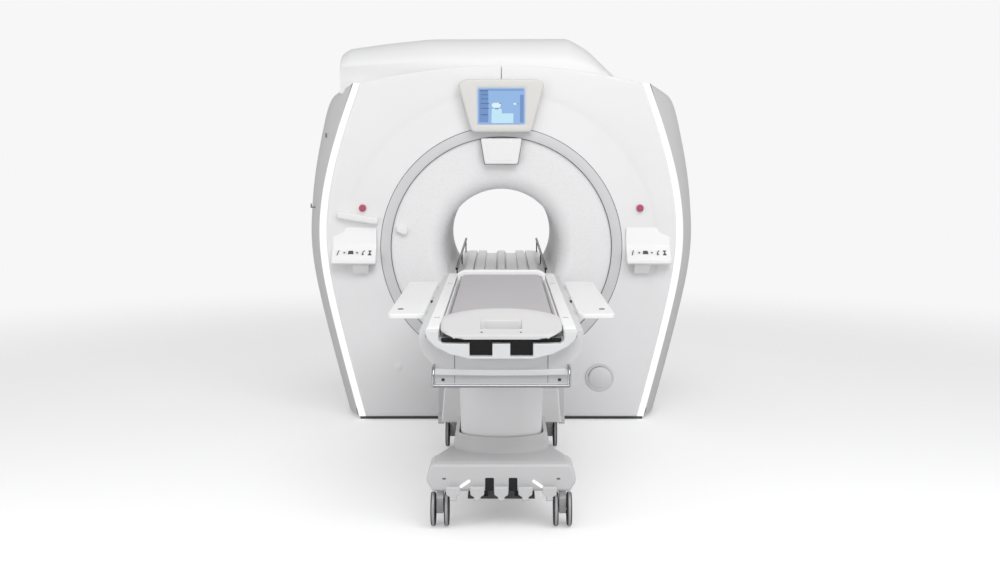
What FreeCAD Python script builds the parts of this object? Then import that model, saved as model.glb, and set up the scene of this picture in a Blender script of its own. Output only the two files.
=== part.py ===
import FreeCAD, Part
import Sketcher
import math
import os
from FreeCAD import Placement, Rotation, Vector

# A whole-body scanner: a horizontal tube magnet in moulded covers, with a docking patient table.
# Millimetres. X to the right seen from the table, +Y into the tube, +Z up.
# The origin is on the floor, straight below the middle of the tube.

# ---------------------------------------------------------------- driving dimensions
ahead = "in front of the covers: "
driving = [
    # the tube and what is wrapped round it
    ("isoHeight", 1050, "height of the tube's axis"),
    ("boreRadius", 350, "inside of the bore liner"),
    ("linerWall", 9, "wall of the bore liner"),
    ("throatDepth", 240, "front plane to the start of the straight tube"),
    ("tubeEnd", 760, "Y where the straight tube ends at the back"),
    ("halfDepth", 860, "origin to the front and the back plane of the covers"),
    ("vesselRadius", 880, "outside of the vacuum vessel"),
    ("coilRoom", 35, "inside of the bore liner to the gradient coil"),
    ("vesselLength", 1400, "length of the vacuum vessel"),
    ("vesselWall", 12, "plate of the vacuum vessel"),
    ("gradientWall", 85, "gradient coil, outside to inside"),
    ("turretX", -420, "place of the service turret across the magnet"),
    ("turretRadius", 170, "service turret"),
    ("turretTop", 2030, "height of the turret's lid"),
    ("seatGap", 0.3, "gap between pieces that sit in each other"),
    # floor frame
    ("plinthHalf", 862, "half width of the floor plate"),
    ("plinthHeight", 20, "thickness of the floor plate"),
    ("anchorSpacing", 1400, "floor anchors, hole to hole, both ways"),
    ("anchorRadius", 9, "floor anchor hole"),
    # moulded covers: half widths of the front cover at five heights
    ("footHalf", 826, "half width at the foot"),
    ("footHeight", 22, "height of the foot"),
    ("hipHalf", 984, "half width at the hip"),
    ("hipHeight", 659, "height of the hip"),
    ("waistHalf", 1050, "half width at the waist"),
    ("waistHeight", 1090, "height of the waist"),
    ("shoulderHalf", 978, "half width at the shoulder"),
    ("shoulderHeight", 1607, "height of the shoulder"),
    ("headHalf", 838, "half width at the head"),
    ("headHeight", 2030, "height of the head"),
    ("crownHeight", 2134, "height of the front cover's middle"),
    ("hoodHeight", 2325, "height of the top cover"),
    ("coverWall", 6, "wall of the moulded covers"),
    ("coverReturn", 70, "depth of the front cover's rim"),
    ("coverSeam", 4, "seam between the halves of the front cover"),
    ("stripWidth", 42, "light strip, across"),
    ("stripDepth", 30, "light strip, front to back"),
    ("sideSpread", 88, "how far the side covers swell outwards"),
    ("sideSwell", 300, "front plane to the widest place of the side covers"),
    # ring, flare and what hangs on the front
    ("ringOuter", 724, "outside of the trim ring"),
    ("ringInner", 665, "inside of the trim ring"),
    ("ringDepth", 30, "trim ring, front to back"),
    ("ringProud", 6, "trim ring, in front of the cover"),
    ("flareDip", 56, "how far the flare falls back towards the tube"),
    ("flareRound", 130, "round of the flare's lip"),
    ("flareWall", 6, "wall of the flare"),
    ("screenHalf", 138, "half width of the display"),
    ("screenLow", 1789, "lower edge of the display"),
    ("screenHigh", 1997, "upper edge of the display"),
    ("displayDepth", 76, "display housing, front to back"),
    ("stopX", 831, "emergency button, from the middle"),
    ("stopHeight", 1290, "height of the emergency buttons"),
    ("stopRadius", 20, "cap of the emergency button"),
    ("stopTravel", 6, "travel of the emergency button"),
    ("portX", 598, "service port, from the middle"),
    ("portHeight", 259, "height of the service port"),
    ("portRadius", 88, "outside of the service port's bezel"),
    ("panelInner", 748, "keypad panel, edge near the ring"),
    ("panelOuter", 1012, "keypad panel, outer edge"),
    ("panelTop", 1175, "top of the keypad panel"),
    ("panelReach", 102, "how far the keypad stands out"),
    # bridge through the tube
    ("bridgeTop", 856, "height of the bridge's deck"),
    ("bridgeEnd", 1340, "Y where the bridge ends behind the magnet"),
    ("guideInner", 268, "black guide rails, inner face from the middle"),
    ("guideWidth", 14, "black guide rails, across"),
    ("guideTop", 935, "top of the black guide rails"),
    # table top
    ("tableFoot", 2362, ahead + "table's foot end"),
    ("tableHead", 20, ahead + "table's head end"),
    ("railTop", 900, "height of the table's side rails"),
    ("railOuter", 317, "outer edge of the side rails"),
    ("railInner", 260, "inner edge of the side rails"),
    ("deckTop", 857, "height of the table's deck"),
    ("deckWall", 18, "thickness of the table's deck"),
    ("tubHalf", 348, "half width of the table's tub"),
    ("tubBottom", 658, "underside of the table's tub"),
    ("cradleHalf", 255, "half width of the cradle"),
    ("cradleWall", 22, "thickness of the cradle's shell"),
    ("cushionInset", 19, "edge of the cradle to the edge of the cushion"),
    ("cushionHeight", 60, "thickness of the cushion"),
    ("cushionFoot", 2130, ahead + "cushion's foot end"),
    ("cushionHead", 420, ahead + "cushion's head end"),
    ("barRadius", 10, "push bar"),
    ("barHalf", 287, "half length of the push bar"),
    ("barHeight", 672, "height of the push bar"),
    ("barReach", 40, "push bar in front of the table's foot"),
    ("boardWidth", 146, "arm board, across"),
    ("boardThick", 16, "arm board, bottom to top"),
    ("boardFoot", 1890, ahead + "arm board's foot end"),
    ("boardHead", 510, ahead + "arm board's head end"),
    ("hingeX", 358, "arm board hinge, from the middle"),
    ("hingeHeight", 886, "height of the arm board hinge"),
    ("hingePin", 4, "arm board hinge pin"),
    # lifting column
    ("sleeveHalf", 164, "half width of the column's sleeve, at its lower end"),
    ("sleeveFront", 1975, ahead + "sleeve's front, at its lower end"),
    ("sleeveBack", 1140, ahead + "sleeve's back, at its lower end"),
    ("sleeveLow", 345, "lower end of the sleeve"),
    ("sleeveFlare", 32, "how much wider the sleeve is at its top, each side"),
    ("sleeveWall", 5, "wall of the sleeve"),
    ("liftTravel", 240, "how far the table goes down"),
    ("ramRadius", 45, "lifting ram"),
    # table base
    ("beamHalf", 327, "half width of the front crossbeam's cover"),
    ("beamFront", 2200, ahead + "front crossbeam's face"),
    ("beamBack", 2035, ahead + "front crossbeam's back"),
    ("beamTop", 285, "height of the base cover"),
    ("beamRoom", 16, "top of the wheels to the underside of the base cover"),
    ("collarHalf", 194, "half width of the collar round the sleeve"),
    ("collarWall", 10, "wall of the collar"),
    ("collarTop", 360, "height of the collar"),
    ("panLow", 86, "underside of the chassis pan"),
    ("wheelRadius", 75, "caster wheel"),
    ("wheelWidth", 23, "one wheel of a caster pair"),
    ("wheelPitch", 57, "from wheel to wheel in a pair"),
    ("panBack", 790, ahead + "back of the chassis pan"),
    ("spineBack", 804, ahead + "back of the base cover"),
    ("neckHalf", 60, "half width of the chassis between pan and crossbeams"),
    ("panHalf", 150, "half width of the chassis pan"),
    ("beamThick", 40, "chassis crossbeams, bottom to top"),
    ("casterX", 268, "casters, from the middle"),
    ("casterFront", 2150, ahead + "front wheels' axle"),
    ("casterBack", 680, ahead + "rear wheels' axle"),
    ("casterTrail", 25, "wheel centre behind the swivel"),
    ("stemRadius", 11, "caster stem"),
    ("axleRadius", 7, "caster axle"),
    ("pedalRise", 12, "pedal shaft above the underside of the base cover"),
    ("pedalShaftY", 2132, ahead + "pedal shaft"),
    ("pedalWidth", 30, "foot pedal, across"),
    ("pedalPitch", 104, "from pedal to pedal"),
    ("runFit", 0.05, "running clearance of pins and shafts"),
]

doc = FreeCAD.newDocument("scanner")
sheet = doc.addObject("Spreadsheet::Sheet", "Sizes")
for line, (alias, number, meaning) in enumerate(driving, 1):
    sheet.set("A%d" % line, meaning)
    sheet.set("B%d" % line, str(number))
    sheet.setAlias("B%d" % line, alias)
doc.recompute()


def show(value):
    """The text of a value inside an expression."""
    return value.text if isinstance(value, Size) else "(%r)" % float(value)


class Size(float):
    """A length that remembers the expression over the sheet that it comes from."""

    def __new__(cls, number, text):
        made = float.__new__(cls, number)
        made.text = text
        return made

    def __add__(self, other):
        return Size(float(self) + float(other), "(%s + %s)" % (self.text, show(other)))

    def __radd__(self, other):
        return Size(float(other) + float(self), "(%s + %s)" % (show(other), self.text))

    def __sub__(self, other):
        return Size(float(self) - float(other), "(%s - %s)" % (self.text, show(other)))

    def __rsub__(self, other):
        return Size(float(other) - float(self), "(%s - %s)" % (show(other), self.text))

    def __mul__(self, other):
        return Size(float(self) * float(other), "(%s * %s)" % (self.text, show(other)))

    __rmul__ = __mul__

    def __truediv__(self, other):
        return Size(float(self) / float(other), "(%s / %s)" % (self.text, show(other)))

    def __neg__(self):
        return Size(-float(self), "(0 - %s)" % self.text)


inFront = {alias for alias, number, meaning in driving if meaning.startswith(ahead)}


class Sheet:
    """The driving dimensions by name."""

    def __getattr__(self, alias):
        found = Size(float(sheet.get(alias)), "Sizes." + alias)
        return -(size.halfDepth + found) if alias in inFront else found


size = Sheet()
kept = []
turns = {
    "x": Rotation(Vector(0, 1, 0), 90),
    "y": Rotation(Vector(1, 0, 0), -90),
    "z": Rotation(),
}


def bind(thing, name, value):
    """Set a property, through the sheet where the value comes from it."""
    if isinstance(value, Size):
        thing.setExpression(name, value.text)
    elif name.startswith("Placement.Base."):
        setattr(thing.Placement.Base, name[-1], float(value))
        thing.setExpression(name, show(value))
    else:
        setattr(thing, name, float(value))


def place(thing, where, turn=None):
    thing.Placement = Placement(Vector(*[float(v) for v in where]), turn or Rotation())
    for axis, value in zip("xyz", where):
        if isinstance(value, Size):
            thing.setExpression("Placement.Base." + axis, value.text)
    return thing


def box(low, high, label="block"):
    """A block between two corners."""
    made = doc.addObject("Part::Box", label)
    for name, start, end in zip(("Length", "Width", "Height"), low, high):
        bind(made, name, end - start)
    return place(made, low)


def rod(radius, start, length, axis="y", label="rod"):
    """A cylinder from a start point along an axis."""
    made = doc.addObject("Part::Cylinder", label)
    bind(made, "Radius", radius)
    bind(made, "Height", length)
    return place(made, start, turns[axis])


def cut(base, *tools):
    for tool in tools:
        made = doc.addObject("Part::Cut", "cut")
        made.Base = base
        made.Tool = tool
        base = made
    return base


def fuse(*pieces):
    made = doc.addObject("Part::MultiFuse", "fuse")
    made.Shapes = list(pieces)
    return made


def common(first, second):
    made = doc.addObject("Part::Common", "common")
    made.Base = first
    made.Tool = second
    return made


def group(*pieces):
    """Separate solids that share one node."""
    made = doc.addObject("Part::Compound", "group")
    made.Links = list(pieces)
    return made


def tube(outer, inner, start, length, axis="y"):
    return cut(rod(outer, start, length, axis), rod(inner, start, length, axis))


def rounded(thing, radius, wanted):
    """Fillet the edges that a test picks."""
    doc.recompute()
    made = doc.addObject("Part::Fillet", "round")
    made.Base = thing
    made.Edges = [(n, float(radius), float(radius))
                  for n, edge in enumerate(thing.Shape.Edges, 1) if wanted(edge)]
    return made


def along(axis):
    """A test for straight edges that run along an axis."""
    way = {"x": Vector(1, 0, 0), "y": Vector(0, 1, 0), "z": Vector(0, 0, 1)}[axis]

    def test(edge):
        if not isinstance(edge.Curve, Part.Line):
            return False
        return abs(edge.tangentAt(edge.FirstParameter).dot(way)) > 0.999
    return test


def outline(body, role, corners):
    """A closed sketch of straight sides whose corners are tied to the sheet."""
    sketch = body.newObject("Sketcher::SketchObject", "outline")
    plane = [f for f in body.Origin.OriginFeatures if f.Role == role][0]
    sketch.AttachmentSupport = (plane, [""])
    sketch.MapMode = "FlatFace"
    points = [Vector(float(a), float(b), 0) for a, b in corners]
    for n, point in enumerate(points):
        sketch.addGeometry(Part.LineSegment(point, points[(n + 1) % len(points)]))
    for n in range(len(points)):
        sketch.addConstraint(Sketcher.Constraint("Coincident", n, 2, (n + 1) % len(points), 1))
    for n, (across, up) in enumerate(corners):
        for kind, value in (("DistanceX", across), ("DistanceY", up)):
            number = sketch.addConstraint(Sketcher.Constraint(kind, n, 1, float(value)))
            if isinstance(value, Size):
                sketch.setExpression("Constraints[%d]" % number, value.text)
    return sketch


def padded(corners, plane, start, length):
    """An outline in XY, XZ or YZ, pulled out along the third axis from start."""
    body = doc.addObject("PartDesign::Body", "body")
    sketch = outline(body, plane + "_Plane", corners)
    pad = body.newObject("PartDesign::Pad", "pad")
    pad.Profile = sketch
    bind(pad, "Length", length)
    pad.Reversed = plane == "XZ"
    where = {"XY": (0, 0, start), "XZ": (0, start, 0), "YZ": (start, 0, 0)}[plane]
    return place(body, where)


def turned(corners, where, axis="y"):
    """An outline of radius and distance along, turned round an axis through where."""
    body = doc.addObject("PartDesign::Body", "body")
    sketch = outline(body, "XZ_Plane", corners)
    spin = body.newObject("PartDesign::Revolution", "spin")
    spin.Profile = sketch
    spin.ReferenceAxis = (sketch, ["V_Axis"])
    spin.Angle = 360
    return place(body, where, turns[axis])


def shaped(shape, where=(0, 0, 0)):
    """A moulded piece whose surface neither sketches nor primitives give."""
    made = doc.addObject("Part::Feature", "moulding")
    made.Shape = shape
    return place(made, where)


def bent(points, radius):
    """Straight edges through the points with a tangent arc at each inner one."""
    edges = []
    begin = points[0]
    for before, corner, after in zip(points, points[1:], points[2:]):
        behind = (before - corner).normalize()
        ahead = (after - corner).normalize()
        half = behind.getAngle(ahead) / 2
        reach = radius / math.tan(half)
        middle = (behind + ahead).normalize() * (radius / math.sin(half) - radius)
        edges.append(Part.makeLine(begin, corner + behind * reach))
        edges.append(Part.Arc(corner + behind * reach, corner + middle,
                              corner + ahead * reach).toShape())
        begin = corner + ahead * reach
    edges.append(Part.makeLine(begin, points[-1]))
    return edges


def keep(label, thing):
    thing.Label = label
    kept.append(thing)
    return thing


front = -size.halfDepth
back = size.halfDepth
iso = size.isoHeight
vesselBore = size.boreRadius + size.coilRoom + size.gradientWall
cushionHalf = size.cradleHalf - size.cushionInset
beamLow = 2 * size.wheelRadius + size.beamRoom
chassisLow = beamLow + 30
chassisTop = chassisLow + size.beamThick
pedalHeight = beamLow + size.pedalRise


def sidePoints(extra):
    """Half width and height down the covers' side, widened by extra."""
    names = ("foot", "hip", "waist", "shoulder", "head")
    heights = [float(sheet.get(n + "Height")) for n in names]
    halves = [float(sheet.get(n + "Half")) + extra for n in names]
    return list(zip(halves, heights))


def sideCurve(extra, y, side):
    curve = Part.BSplineCurve()
    curve.interpolate([Vector(side * half, y, height) for half, height in sidePoints(extra)])
    return curve


# ---------------------------------------------------------------- the magnet
def baseFrame():
    """Floor plate with anchor holes, and two saddles that carry the vessel."""
    plate = box((-size.plinthHalf, 20 - back, 0), (size.plinthHalf, back - 20, size.plinthHeight))
    half = size.anchorSpacing / 2
    holes = [rod(size.anchorRadius, (x, y, -1), size.plinthHeight + 2, "z")
             for x in (-half, half) for y in (-half, half)]
    saddles = []
    for y in (-500, 380):
        blank = box((-520, y, size.plinthHeight), (520, y + 120, 400))
        seat = rod(size.vesselRadius + size.seatGap, (0, y - 1, iso), 122, "y")
        saddles.append(cut(blank, seat))
    return fuse(cut(plate, *holes), *saddles)


def vacuumVessel():
    """A closed ring shell with the service turret on its crown."""
    half = size.vesselLength / 2
    wall = size.vesselWall
    body = tube(size.vesselRadius, vesselBore, (0, -half, iso), size.vesselLength)
    foot = (size.turretX, 0, iso + 600)
    turret = rod(size.turretRadius, foot, size.turretTop - iso - 600, "z")
    hollow = tube(size.vesselRadius - wall, vesselBore + wall,
                  (0, wall - half, iso), size.vesselLength - 2 * wall)
    well = rod(size.turretRadius - wall, foot, size.turretTop - iso - 600 - wall, "z")
    return cut(fuse(body, turret), hollow, well)


def coilFormer():
    """The winding former with end flanges that stand against the vessel's ends."""
    inner = vesselBore + size.vesselWall + 60
    half = size.vesselLength / 2 - size.vesselWall - size.seatGap
    length = 2 * half
    body = tube(inner + 30, inner, (0, -half, iso), length)
    flanges = [tube(inner + 150, inner, (0, y, iso), 25) for y in (-half, half - 25)]
    return fuse(body, *flanges)


def magnetCoils():
    """Six ring windings on the former, thick ones at the ends."""
    inner = vesselBore + size.vesselWall + 90
    half = size.vesselLength / 2 - size.vesselWall - 40
    rings = []
    for share, width, depth in ((1.0, 150, 110), (0.55, 110, 60), (0.2, 80, 50)):
        for side in (-1, 1):
            middle = side * (half - 90) * share
            rings.append(tube(inner + depth, inner + size.seatGap,
                              (0, middle - width / 2, iso), width))
    return group(*rings)


def gradientCoil():
    outer = vesselBore - size.seatGap
    half = size.vesselLength / 2 - 60
    return tube(outer, vesselBore - size.gradientWall, (0, -half, iso), 2 * half)


def bodyCoil():
    """Radio coil: a thin tube between two end rings that seat in the gradient coil."""
    inner = size.boreRadius + size.linerWall + size.seatGap
    outer = vesselBore - size.gradientWall - size.seatGap
    skin = tube(inner + 6, inner, (0, -330, iso), 660)
    rings = [tube(outer, inner, (0, y, iso), 40) for y in (-330, 290)]
    return fuse(skin, *rings)


def boreLiner():
    start = front + size.throatDepth + size.seatGap
    return tube(size.boreRadius + size.linerWall, size.boreRadius, (0, start, iso),
                size.tubeEnd - start)


def coldHead():
    """Cryogenic head on the turret's lid: flange, cold stage body and motor."""
    top = size.turretTop
    x = size.turretX
    flange = rod(110, (x, 0, top), 16, "z")
    body = rod(60, (x, 0, top + 16), 150, "z")
    motor = rounded(box((x - 75, -60, top + 166), (x + 75, 90, top + 250)), 14, along("z"))
    return fuse(flange, body, motor)


# ---------------------------------------------------------------- covers
def coverFace(inset, y, side):
    """One half of the front cover's outline as a face."""
    low = float(size.footHeight)
    seam = side * float(size.coverSeam) / 2
    half = float(size.headHalf) - inset
    high = float(size.headHeight) - inset * 0.3
    crown = float(size.crownHeight) - inset
    edge = sideCurve(-inset, y, side)
    radius = ((crown - high) ** 2 + half ** 2) / (2 * (crown - high))

    def top(x):
        return crown - radius + math.sqrt(radius ** 2 - x ** 2)
    head = edge.EndPoint
    head = Vector(head.x, y, head.z)
    arc = Part.Arc(head, Vector(side * half * 0.55, y, top(half * 0.55)),
                   Vector(seam, y, top(abs(seam))))
    foot = edge.StartPoint
    lines = [edge.toShape(), arc.toShape(),
             Part.makeLine(Vector(seam, y, top(abs(seam))), Vector(seam, y, low)),
             Part.makeLine(Vector(seam, y, low), foot)]
    return Part.Face(Part.Wire(Part.__sortEdges__(lines)))


def frontCover(side):
    """A tray: the face with a rim that runs back, cut round for the ring and for the button."""
    y = float(front)
    depth = float(size.coverReturn)
    wall = float(size.coverWall)
    outer = coverFace(0, y, side).extrude(Vector(0, depth, 0))
    inner = coverFace(wall, y + wall, side).extrude(Vector(0, depth, 0))
    radius = float(size.ringOuter) - 12
    hole = Part.makeCylinder(radius, 3 * depth, Vector(0, y - depth, float(iso)), Vector(0, 1, 0))
    lip = Part.makeCylinder(radius + wall, depth - 1, Vector(0, y, float(iso)), Vector(0, 1, 0))
    rim = outer.common(lip)
    centre = Vector(side * float(size.stopX), y - 5, float(size.stopHeight))
    stem = Part.makeCylinder(12 + float(size.runFit), 40, centre, Vector(0, 1, 0))
    tray = outer.cut(inner).fuse(rim).cut(hole).cut(stem)
    return shaped(tray.removeSplitter())


def trimRing():
    """The ring that joins the covers to the flare, overlapping both."""
    y = front - size.ringProud
    inner = size.ringInner
    outer = size.ringOuter
    edge = size.ringProud
    land = outer - 12 - size.seatGap
    corners = [(inner, 0), (outer, 0), (outer, edge), (land, edge), (land, size.ringDepth),
               (inner + 14, size.ringDepth), (inner + 14, edge + 8), (inner, edge + 8)]
    return turned(corners, (0, y, iso))


def flare():
    """The funnel from the ring into the tube: a wall with a big round at its lip, turned."""
    rim = float(size.ringInner) + 14 - float(size.seatGap)
    start = float(front) + 8 + float(size.seatGap)
    dip = start + float(size.flareDip)
    end = float(front) + float(size.throatDepth)
    bore = float(size.boreRadius)
    wall = float(size.flareWall)
    around = float(size.flareRound)
    shown = [Vector(rim, start, 0), Vector(bore, dip, 0), Vector(bore, end, 0)]
    hidden = [Vector(bore + wall, end, 0), Vector(bore + wall, dip + wall, 0),
              Vector(rim, start + wall, 0)]
    edges = bent(shown, around) + bent(hidden, around + wall)
    edges += [Part.makeLine(shown[-1], hidden[0]), Part.makeLine(hidden[-1], shown[0])]
    face = Part.Face(Part.Wire(edges[:3] + edges[6:7] + edges[3:6] + edges[7:]))
    return shaped(face.revolve(Vector(), Vector(0, 1, 0), 360), (0, 0, iso))


def band(inner, outer, drop=0.0):
    """A closed wire between two lines down the covers' side, its head let down by drop."""
    for curve in (inner, outer):
        curve.setPole(curve.NbPoles, curve.getPole(curve.NbPoles) - Vector(0, 0, drop))
    return Part.Wire([inner.toShape(), Part.makeLine(inner.EndPoint, outer.EndPoint),
                      outer.toShape(), Part.makeLine(outer.StartPoint, inner.StartPoint)])


def lightStrip(side):
    """A translucent strip between the front cover and the side cover."""
    y = float(front) - 2
    gap = float(size.seatGap)
    wire = band(sideCurve(gap, y, side), sideCurve(float(size.stripWidth), y, side))
    return shaped(Part.Face(wire).extrude(Vector(0, float(size.stripDepth) + 2, 0)))


def sideCover(side):
    """A wall that swells outwards behind the light strip and runs to the rear cover."""
    wall = float(size.coverWall)
    strip = float(size.stripWidth) + float(size.seatGap)
    spread = float(size.sideSpread)
    swell = float(size.sideSwell)
    length = float(back) - 60 - float(size.seatGap) - float(front)
    sections = []
    rising = [(swell * part, math.sin(part * math.pi / 2)) for part in (0, 0.1, 0.25, 0.45, 0.7, 1.0)]
    for depth, share in rising + [(length * 0.6, 0.95), (length, 0.8)]:
        outside = strip + spread * share
        y = float(front) + depth
        sections.append(band(sideCurve(outside - wall * (share > 0), y, side),
                             sideCurve(outside + wall * (share == 0), y, side),
                             0.45 * spread * share))
    return shaped(Part.makeLoft(sections, True, True))


def hoodPoints(lift, inset):
    """The top cover's outline: tall over the turret side, sloping down at the other."""
    high = float(size.hoodHeight)
    head = float(size.headHeight)
    outer = float(size.headHalf) + float(size.stripWidth) + 0.8 * float(size.sideSpread) + 30
    low = head + 8
    raw = [(-outer, low), (-outer, high - 112), (-outer + 95, high - 74), (-680, high - 26),
           (-440, high), (405, high), (530, high - 72), (655, high - 182), (745, high - 224),
           (outer - 20, low + 12), (outer, low)]
    points = []
    for x, z in raw:
        z = low + (z - low) * lift
        points.append((x * (1 - inset / outer), z if z <= low else z - inset))
    return points


def hoodSolid(inset):
    """The hood rises from the front cover's top edge to full height and runs to the back."""
    y = float(front) + float(size.coverReturn) + float(size.seatGap)
    stations = [(y, 0.30), (y + 150, 0.62), (y + 420, 1.0), (float(back) - 61, 1.0)]
    sections = []
    for station, lift in stations:
        at = station + (inset if station == y else 0)
        points = [Vector(x, at, z) for x, z in hoodPoints(lift, inset)]
        sections.append(Part.makePolygon(points + points[:1]))
    return Part.makeLoft(sections, True, True)


def topCover():
    wall = float(size.coverWall)
    inner = hoodSolid(wall)
    inner.translate(Vector(0, 0, -1))
    return shaped(hoodSolid(0).cut(inner))


def rearCover():
    """The back panel, with its own short flare round the tube's end."""
    y = float(back) - 60
    wall = float(size.coverWall)
    sideways = float(size.stripWidth) + 0.8 * float(size.sideSpread)

    def face(inset, at):
        left = sideCurve(sideways - inset, at, -1)
        right = sideCurve(sideways - inset, at, 1)
        crest = [Vector(x, at, z) for x, z in hoodPoints(1.0, inset)[1:-1]]
        top = [left.EndPoint] + crest + [right.EndPoint]
        lines = [left.toShape(), right.toShape(), Part.makePolygon(top),
                 Part.makeLine(left.StartPoint, right.StartPoint)]
        edges = [edge for line in lines for edge in line.Edges]
        return Part.Face(Part.Wire(Part.__sortEdges__(edges)))
    tray = face(0, y).extrude(Vector(0, 60, 0))
    tray = tray.cut(face(wall, y - 1).extrude(Vector(0, 61 - wall, 0)))
    centre = Vector(0, float(size.tubeEnd) + float(size.seatGap), float(iso))
    bore = float(size.boreRadius)
    depth = float(back) - centre.y
    way = Vector(0, 1, 0)
    outer = Part.makeCone(bore + wall, bore + 70 + wall, depth, centre, way)
    inner = Part.makeCone(bore, bore + 70, depth, centre, way)
    return shaped(tray.fuse(outer).cut(inner).removeSplitter())


# ---------------------------------------------------------------- what hangs on the front
def displayHousing():
    """A tapered hood with a bezel, standing in front of the ring's crown."""
    y = front - size.ringProud - size.seatGap
    corners = [(-184, 1728), (184, 1728), (259, 2033), (232, 2052), (-232, 2052), (-259, 2033)]
    hood = padded(corners, "XZ", y - size.displayDepth, size.displayDepth)
    foot = box((-190, y, 1800), (190, front, 2030))
    window = box((-size.screenHalf - size.seatGap, y - size.displayDepth - 1,
                  size.screenLow - size.seatGap),
                 (size.screenHalf + size.seatGap, y - size.displayDepth + 8,
                  size.screenHigh + size.seatGap))
    soft = rounded(hood, 12, along("y"))
    return cut(fuse(soft, foot), window)


def displayScreen():
    y = front - size.ringProud - size.seatGap - size.displayDepth
    return box((-size.screenHalf, y + 2, size.screenLow), (size.screenHalf, y + 8, size.screenHigh))


def lightHousing():
    """Positioning light under the display, let into the flare."""
    corners = [(-98, 1552), (98, 1552), (125, 1706), (-125, 1706)]
    y = front - 30
    hood = rounded(padded(corners, "XZ", y, 120), 10, along("y"))
    behind = [(size.boreRadius, 8 + size.seatGap + size.flareDip),
              (size.ringInner + 14, 8 + size.seatGap), (size.ringInner + 14, 400),
              (size.boreRadius, 400)]
    solid = turned(behind, (0, front - size.seatGap, iso))
    collar = tube(size.ringOuter + 60, size.ringInner - size.seatGap,
                  (0, front - size.ringProud - 40, iso), 400)
    return cut(hood, solid, collar)


def controlPanel(side):
    """A shallow panel with a keypad that leans out, on a tapered bracket."""
    reach = size.panelReach
    corners = [(front, size.panelTop), (front - 14, size.panelTop - 10),
               (front - 18, 1060), (front - reach, 986), (front - reach, 966),
               (front - reach + 12, 958), (front, 958)]
    low, high = size.panelInner, size.panelOuter
    bracket = [(front, 960), (front - reach + 22, 960), (front - 34, 898), (front, 898)]
    if side > 0:
        desk = padded(corners, "YZ", low, high - low)
        leg = padded(bracket, "YZ", low + 48, high - low - 92)
    else:
        desk = padded(corners, "YZ", -high, high - low)
        leg = padded(bracket, "YZ", 44 - high, high - low - 92)
    return fuse(desk, leg)


def portBezel():
    spot = (size.portX, front - 14, size.portHeight)
    ring = tube(size.portRadius, size.portRadius - 16, spot, 14)
    return ring


def portCap():
    """A shallow turned cap inside the bezel."""
    radius = size.portRadius - 16 - size.seatGap
    corners = [(0, 0), (radius - 24, 3), (radius - 6, 10), (radius, 18), (radius, 26), (0, 26)]
    return turned(corners, (size.portX, front - 26, size.portHeight))


def accessoryShelf():
    """A sloping hand rail on the left, with a stub of its own on the flare."""
    rail = rounded(box((0, 0, 0), (244, 34, 36)), 9, along("x"))
    feet = [box((x, 34, 6), (x + 26, 44, 30)) for x in (18, 196)]
    bar = fuse(rail, *feet)
    return place(bar, (-982, front - 44, 1240), Rotation(Vector(0, 1, 0), 12))


def sideHooks(cover):
    """Two small cable hooks that stand on the left side cover."""
    hooks = []
    for height, x in ((1715, -1064), (1290, -1160)):
        arm = rod(4, (x, front + 112, height), 29, "x")
        tip = rod(4, (x + 4, front + 112, height), 22, "z")
        hooks.append(cut(fuse(arm, tip), cover))
    return group(*hooks)


# ---------------------------------------------------------------- bridge and dock
def boreBridge():
    """The deck that carries the cradle through the tube, with black guide rails."""
    top = size.bridgeTop
    start = front - 6
    length = size.bridgeEnd - start
    outer = size.guideInner + size.guideWidth
    corners = [(-outer - 16, 700), (outer + 16, 700), (outer + 16, top), (186, top),
               (186, top - 18), (172, top - 18), (172, top), (112, top), (112, top - 20),
               (40, top - 20), (40, top), (-40, top), (-40, top - 20), (-112, top - 20),
               (-112, top), (-172, top), (-172, top - 18), (-186, top - 18), (-186, top),
               (-outer - 16, top)]
    beam = padded(corners, "XZ", start, length)
    hollow = box((-150, start - 1, 600), (150, start + length + 1, top - 34))
    sides = [box((x, start - 1, 600), (x + 96, start + length + 1, top - 34))
             for x in (-262, 166)]
    seat = rod(size.boreRadius - size.seatGap, (0, start - 1, iso), length + 2)
    deck = common(cut(beam, hollow, *sides), seat)
    guides = [box((x, start + 40, top - 6), (x + size.guideWidth, start + length, size.guideTop))
              for x in (-outer, size.guideInner)]
    return fuse(deck, *guides)


def rearPedestal():
    """A stand behind the magnet that carries the bridge's end."""
    y = size.bridgeEnd - 150
    foot = rounded(box((-230, y - 130, 0), (230, y + 130, 30)), 40, along("z"))
    post = rounded(box((-90, y - 60, 30), (90, y + 60, 700)), 20, along("z"))
    half = 150 - size.seatGap
    head = box((-half, y - 80, 700), (half, y + 80, size.bridgeTop - 34 - size.seatGap))
    return fuse(foot, post, head)


def dockSocket():
    """The plate and socket that the table's tongue locks into, with two floor guides."""
    plate = box((-380, front - 14, 30), (380, front, iso - size.ringOuter - 9))
    mouth = box((-105, front - 70, 168), (105, front - 14, 258))
    gap = size.seatGap
    throat = box((-80 - gap, front - 71, 192 - gap), (80 + gap, front - 2, 234 + gap))
    guides = [rounded(box((x, front - 120, 0), (x + 34, front - 14, 44)), 12, along("x"))
              for x in (-380, 346)]
    return fuse(cut(fuse(plate, mouth), throat), *guides)


def stopButton(side):
    """Mushroom button: cap in front, stem through the cover."""
    x = size.stopX * side
    z = size.stopHeight
    gap = size.stopTravel + 6
    corners = [(0, 0), (size.stopRadius - 7, 0), (size.stopRadius, 6), (size.stopRadius, 12),
               (12, 16), (12, gap + 40), (0, gap + 40)]
    return turned(corners, (x, front - gap - 16, z))


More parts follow.
